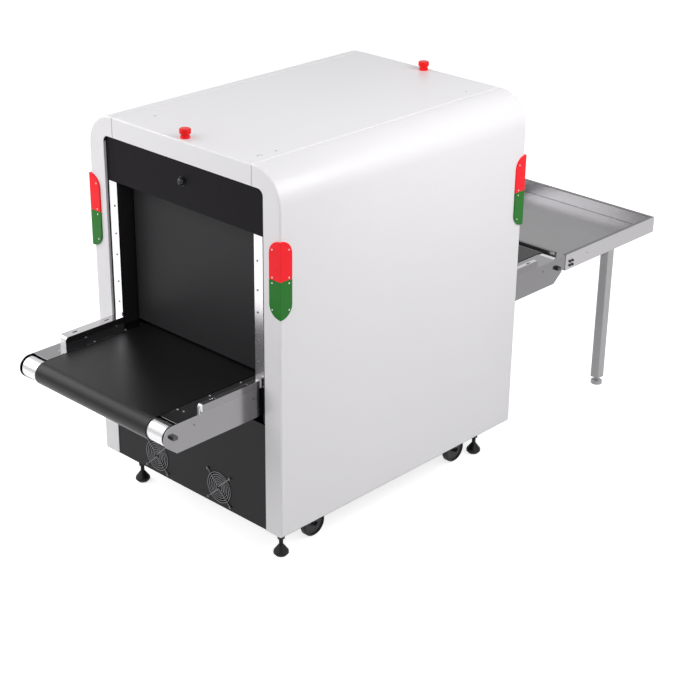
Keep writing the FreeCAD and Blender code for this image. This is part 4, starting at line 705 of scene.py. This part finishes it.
for side in (-1, 1):
    for x in BOLT_COLUMNS:
        for level in BOLT_LEVELS:
            bolt_places.append(((x + CABINET_MIDDLE, side * PLATE_FACE, level), (0, side, 0)))
    rivet_places.append(((RIVET_PLACE[0] + CABINET_MIDDLE, side * PLATE_FACE, RIVET_PLACE[1]),
                         (0, side, 0)))
set_copies(tray_bolt, "tray_bolts", bolt_places, black_steel)
set_copies(tray_rivet, "tray_rivets", rivet_places, rivet_steel)
clear_away(tray_bolt, tray_rivet)


# Tray legs: two square steel tubes with soft corners, powder coated light grey, welded under the
# tray. A screw foot in the end plug of each lets the tray be levelled.
leg_coat = finish("leg_coat", (0.50, 0.49, 0.505), 0.38, specular=0.5, coat=0.1, cloud=0.04,
                  grain_scale=420.0, relief=0.12, scuff=0.02)
dress(leg_coat, "tray_legs")


# The room: a plain white floor that keeps the machine's soft shadow, and white light all round.
# The picture, metal and glass see both as white, while the light on the machine stays plain.
def seen_plainly(nodes, links):
    """Give 1 for the rays by which the picture, metal and glass see the room."""
    paths = nodes.new("ShaderNodeLightPath")
    seen = nodes.new("ShaderNodeMath")
    seen.operation = "MAXIMUM"
    links.new(paths.outputs["Is Camera Ray"], seen.inputs[0])
    links.new(paths.outputs["Is Glossy Ray"], seen.inputs[1])
    also = nodes.new("ShaderNodeMath")
    also.operation = "MAXIMUM"
    links.new(seen.outputs["Value"], also.inputs[0])
    links.new(paths.outputs["Is Transmission Ray"], also.inputs[1])
    return also.outputs["Value"]


FLOOR_SIZE = 60.0
FLOOR_LIFT = 0.79
deselect()
bpy.ops.mesh.primitive_plane_add(size=FLOOR_SIZE, location=(0, 0, -0.0005))
floor = bpy.context.object
floor.name = "floor"
floor_paper = bpy.data.materials.new("floor_paper")
floor_paper.use_nodes = True
paper_nodes = floor_paper.node_tree.nodes
paper_links = floor_paper.node_tree.links
paper = paper_nodes["Principled BSDF"]
paper.inputs["Base Color"].default_value = (0.72, 0.72, 0.72, 1)
paper.inputs["Roughness"].default_value = 0.7
paper.inputs["Specular IOR Level"].default_value = 0.0
paper.inputs["Emission Color"].default_value = (1, 1, 1, 1)
lift = paper_nodes.new("ShaderNodeMath")
lift.operation = "MULTIPLY"
lift.inputs[1].default_value = FLOOR_LIFT
paper_links.new(seen_plainly(paper_nodes, paper_links), lift.inputs[0])
paper_links.new(lift.outputs["Value"], paper.inputs["Emission Strength"])
floor.data.materials.append(floor_paper)

HORIZON_LIGHT = 0.21
ZENITH_LIGHT = 0.37
world = bpy.data.worlds.new("world")
world.use_nodes = True
bpy.context.scene.world = world
room_nodes = world.node_tree.nodes
room_links = world.node_tree.links
room_nodes["Background"].inputs["Color"].default_value = (1, 1, 1, 1)
facing = room_nodes.new("ShaderNodeTexCoord")
height = room_nodes.new("ShaderNodeSeparateXYZ")
room_links.new(facing.outputs["Generated"], height.inputs["Vector"])
sky = room_nodes.new("ShaderNodeMapRange")
sky.inputs["To Min"].default_value = HORIZON_LIGHT
sky.inputs["To Max"].default_value = ZENITH_LIGHT
room_links.new(height.outputs["Z"], sky.inputs["Value"])
brightness = room_nodes.new("ShaderNodeMix")
brightness.inputs["B"].default_value = 1.0
room_links.new(seen_plainly(room_nodes, room_links), brightness.inputs["Factor"])
room_links.new(sky.outputs["Result"], brightness.inputs["A"])
room_links.new(brightness.outputs["Result"], room_nodes["Background"].inputs["Strength"])


# The lamps: broad and soft, two high over the near side, one over the entry end and one over the
# far side, whose glow the polished tray and rollers pick up.
def hang_lamp(name, place, aim, size, power):
    """Hang one soft square lamp turned towards a point."""
    light = bpy.data.lights.new(name, "AREA")
    light.size = size
    light.energy = power
    lamp = bpy.data.objects.new(name, light)
    bpy.context.scene.collection.objects.link(lamp)
    lamp.location = place
    lamp.rotation_euler = (Vector(aim) - Vector(place)).to_track_quat("-Z", "Y").to_euler()


hang_lamp("side_lamp", (0.35, -2.0, 2.4), (0.0, -0.4, 1.2), 1.4, 34)
hang_lamp("shoulder_lamp", (-1.1, -2.5, 2.6), (-0.5, -0.4, 1.2), 1.6, 15)
hang_lamp("entry_lamp", (-3.5, 0.5, 2.7), (-0.8, 0.0, 0.9), 2.4, 50)
hang_lamp("far_lamp", (-1.8, 3.0, 2.5), (0.6, 0.1, 0.7), 2.6, 60)


# The view: a long lens looks down on the entry end and the near long side, from well above the
# top cover and about six metres away.
FOCAL_PIXELS = 1656.76
PICTURE_PIXELS = 700
SENSOR = 36.0
CAMERA_PLACE = (-4.0106, -3.6600, 2.9002)
CAMERA_YAW = math.radians(43.10)
CAMERA_PITCH = math.radians(25.07)
CAMERA_ROLL = math.radians(0.818)
lens = bpy.data.cameras.new("camera")
lens.sensor_width = SENSOR
lens.lens = SENSOR * FOCAL_PIXELS / PICTURE_PIXELS
lens.clip_start = 0.05
lens.clip_end = 100.0
camera = bpy.data.objects.new("camera", lens)
bpy.context.scene.collection.objects.link(camera)
ahead = Vector((math.cos(CAMERA_YAW) * math.cos(CAMERA_PITCH),
                math.sin(CAMERA_YAW) * math.cos(CAMERA_PITCH), -math.sin(CAMERA_PITCH)))
right = Vector((math.sin(CAMERA_YAW), -math.cos(CAMERA_YAW), 0.0))
up = right.cross(ahead)
rolled_right = right * math.cos(CAMERA_ROLL) + up * math.sin(CAMERA_ROLL)
rolled_up = up * math.cos(CAMERA_ROLL) - right * math.sin(CAMERA_ROLL)
aim = Matrix((rolled_right, rolled_up, -ahead)).transposed().to_4x4()
camera.matrix_world = Matrix.Translation(CAMERA_PLACE) @ aim
bpy.context.scene.camera = camera
bpy.context.scene.view_settings.view_transform = "Standard"
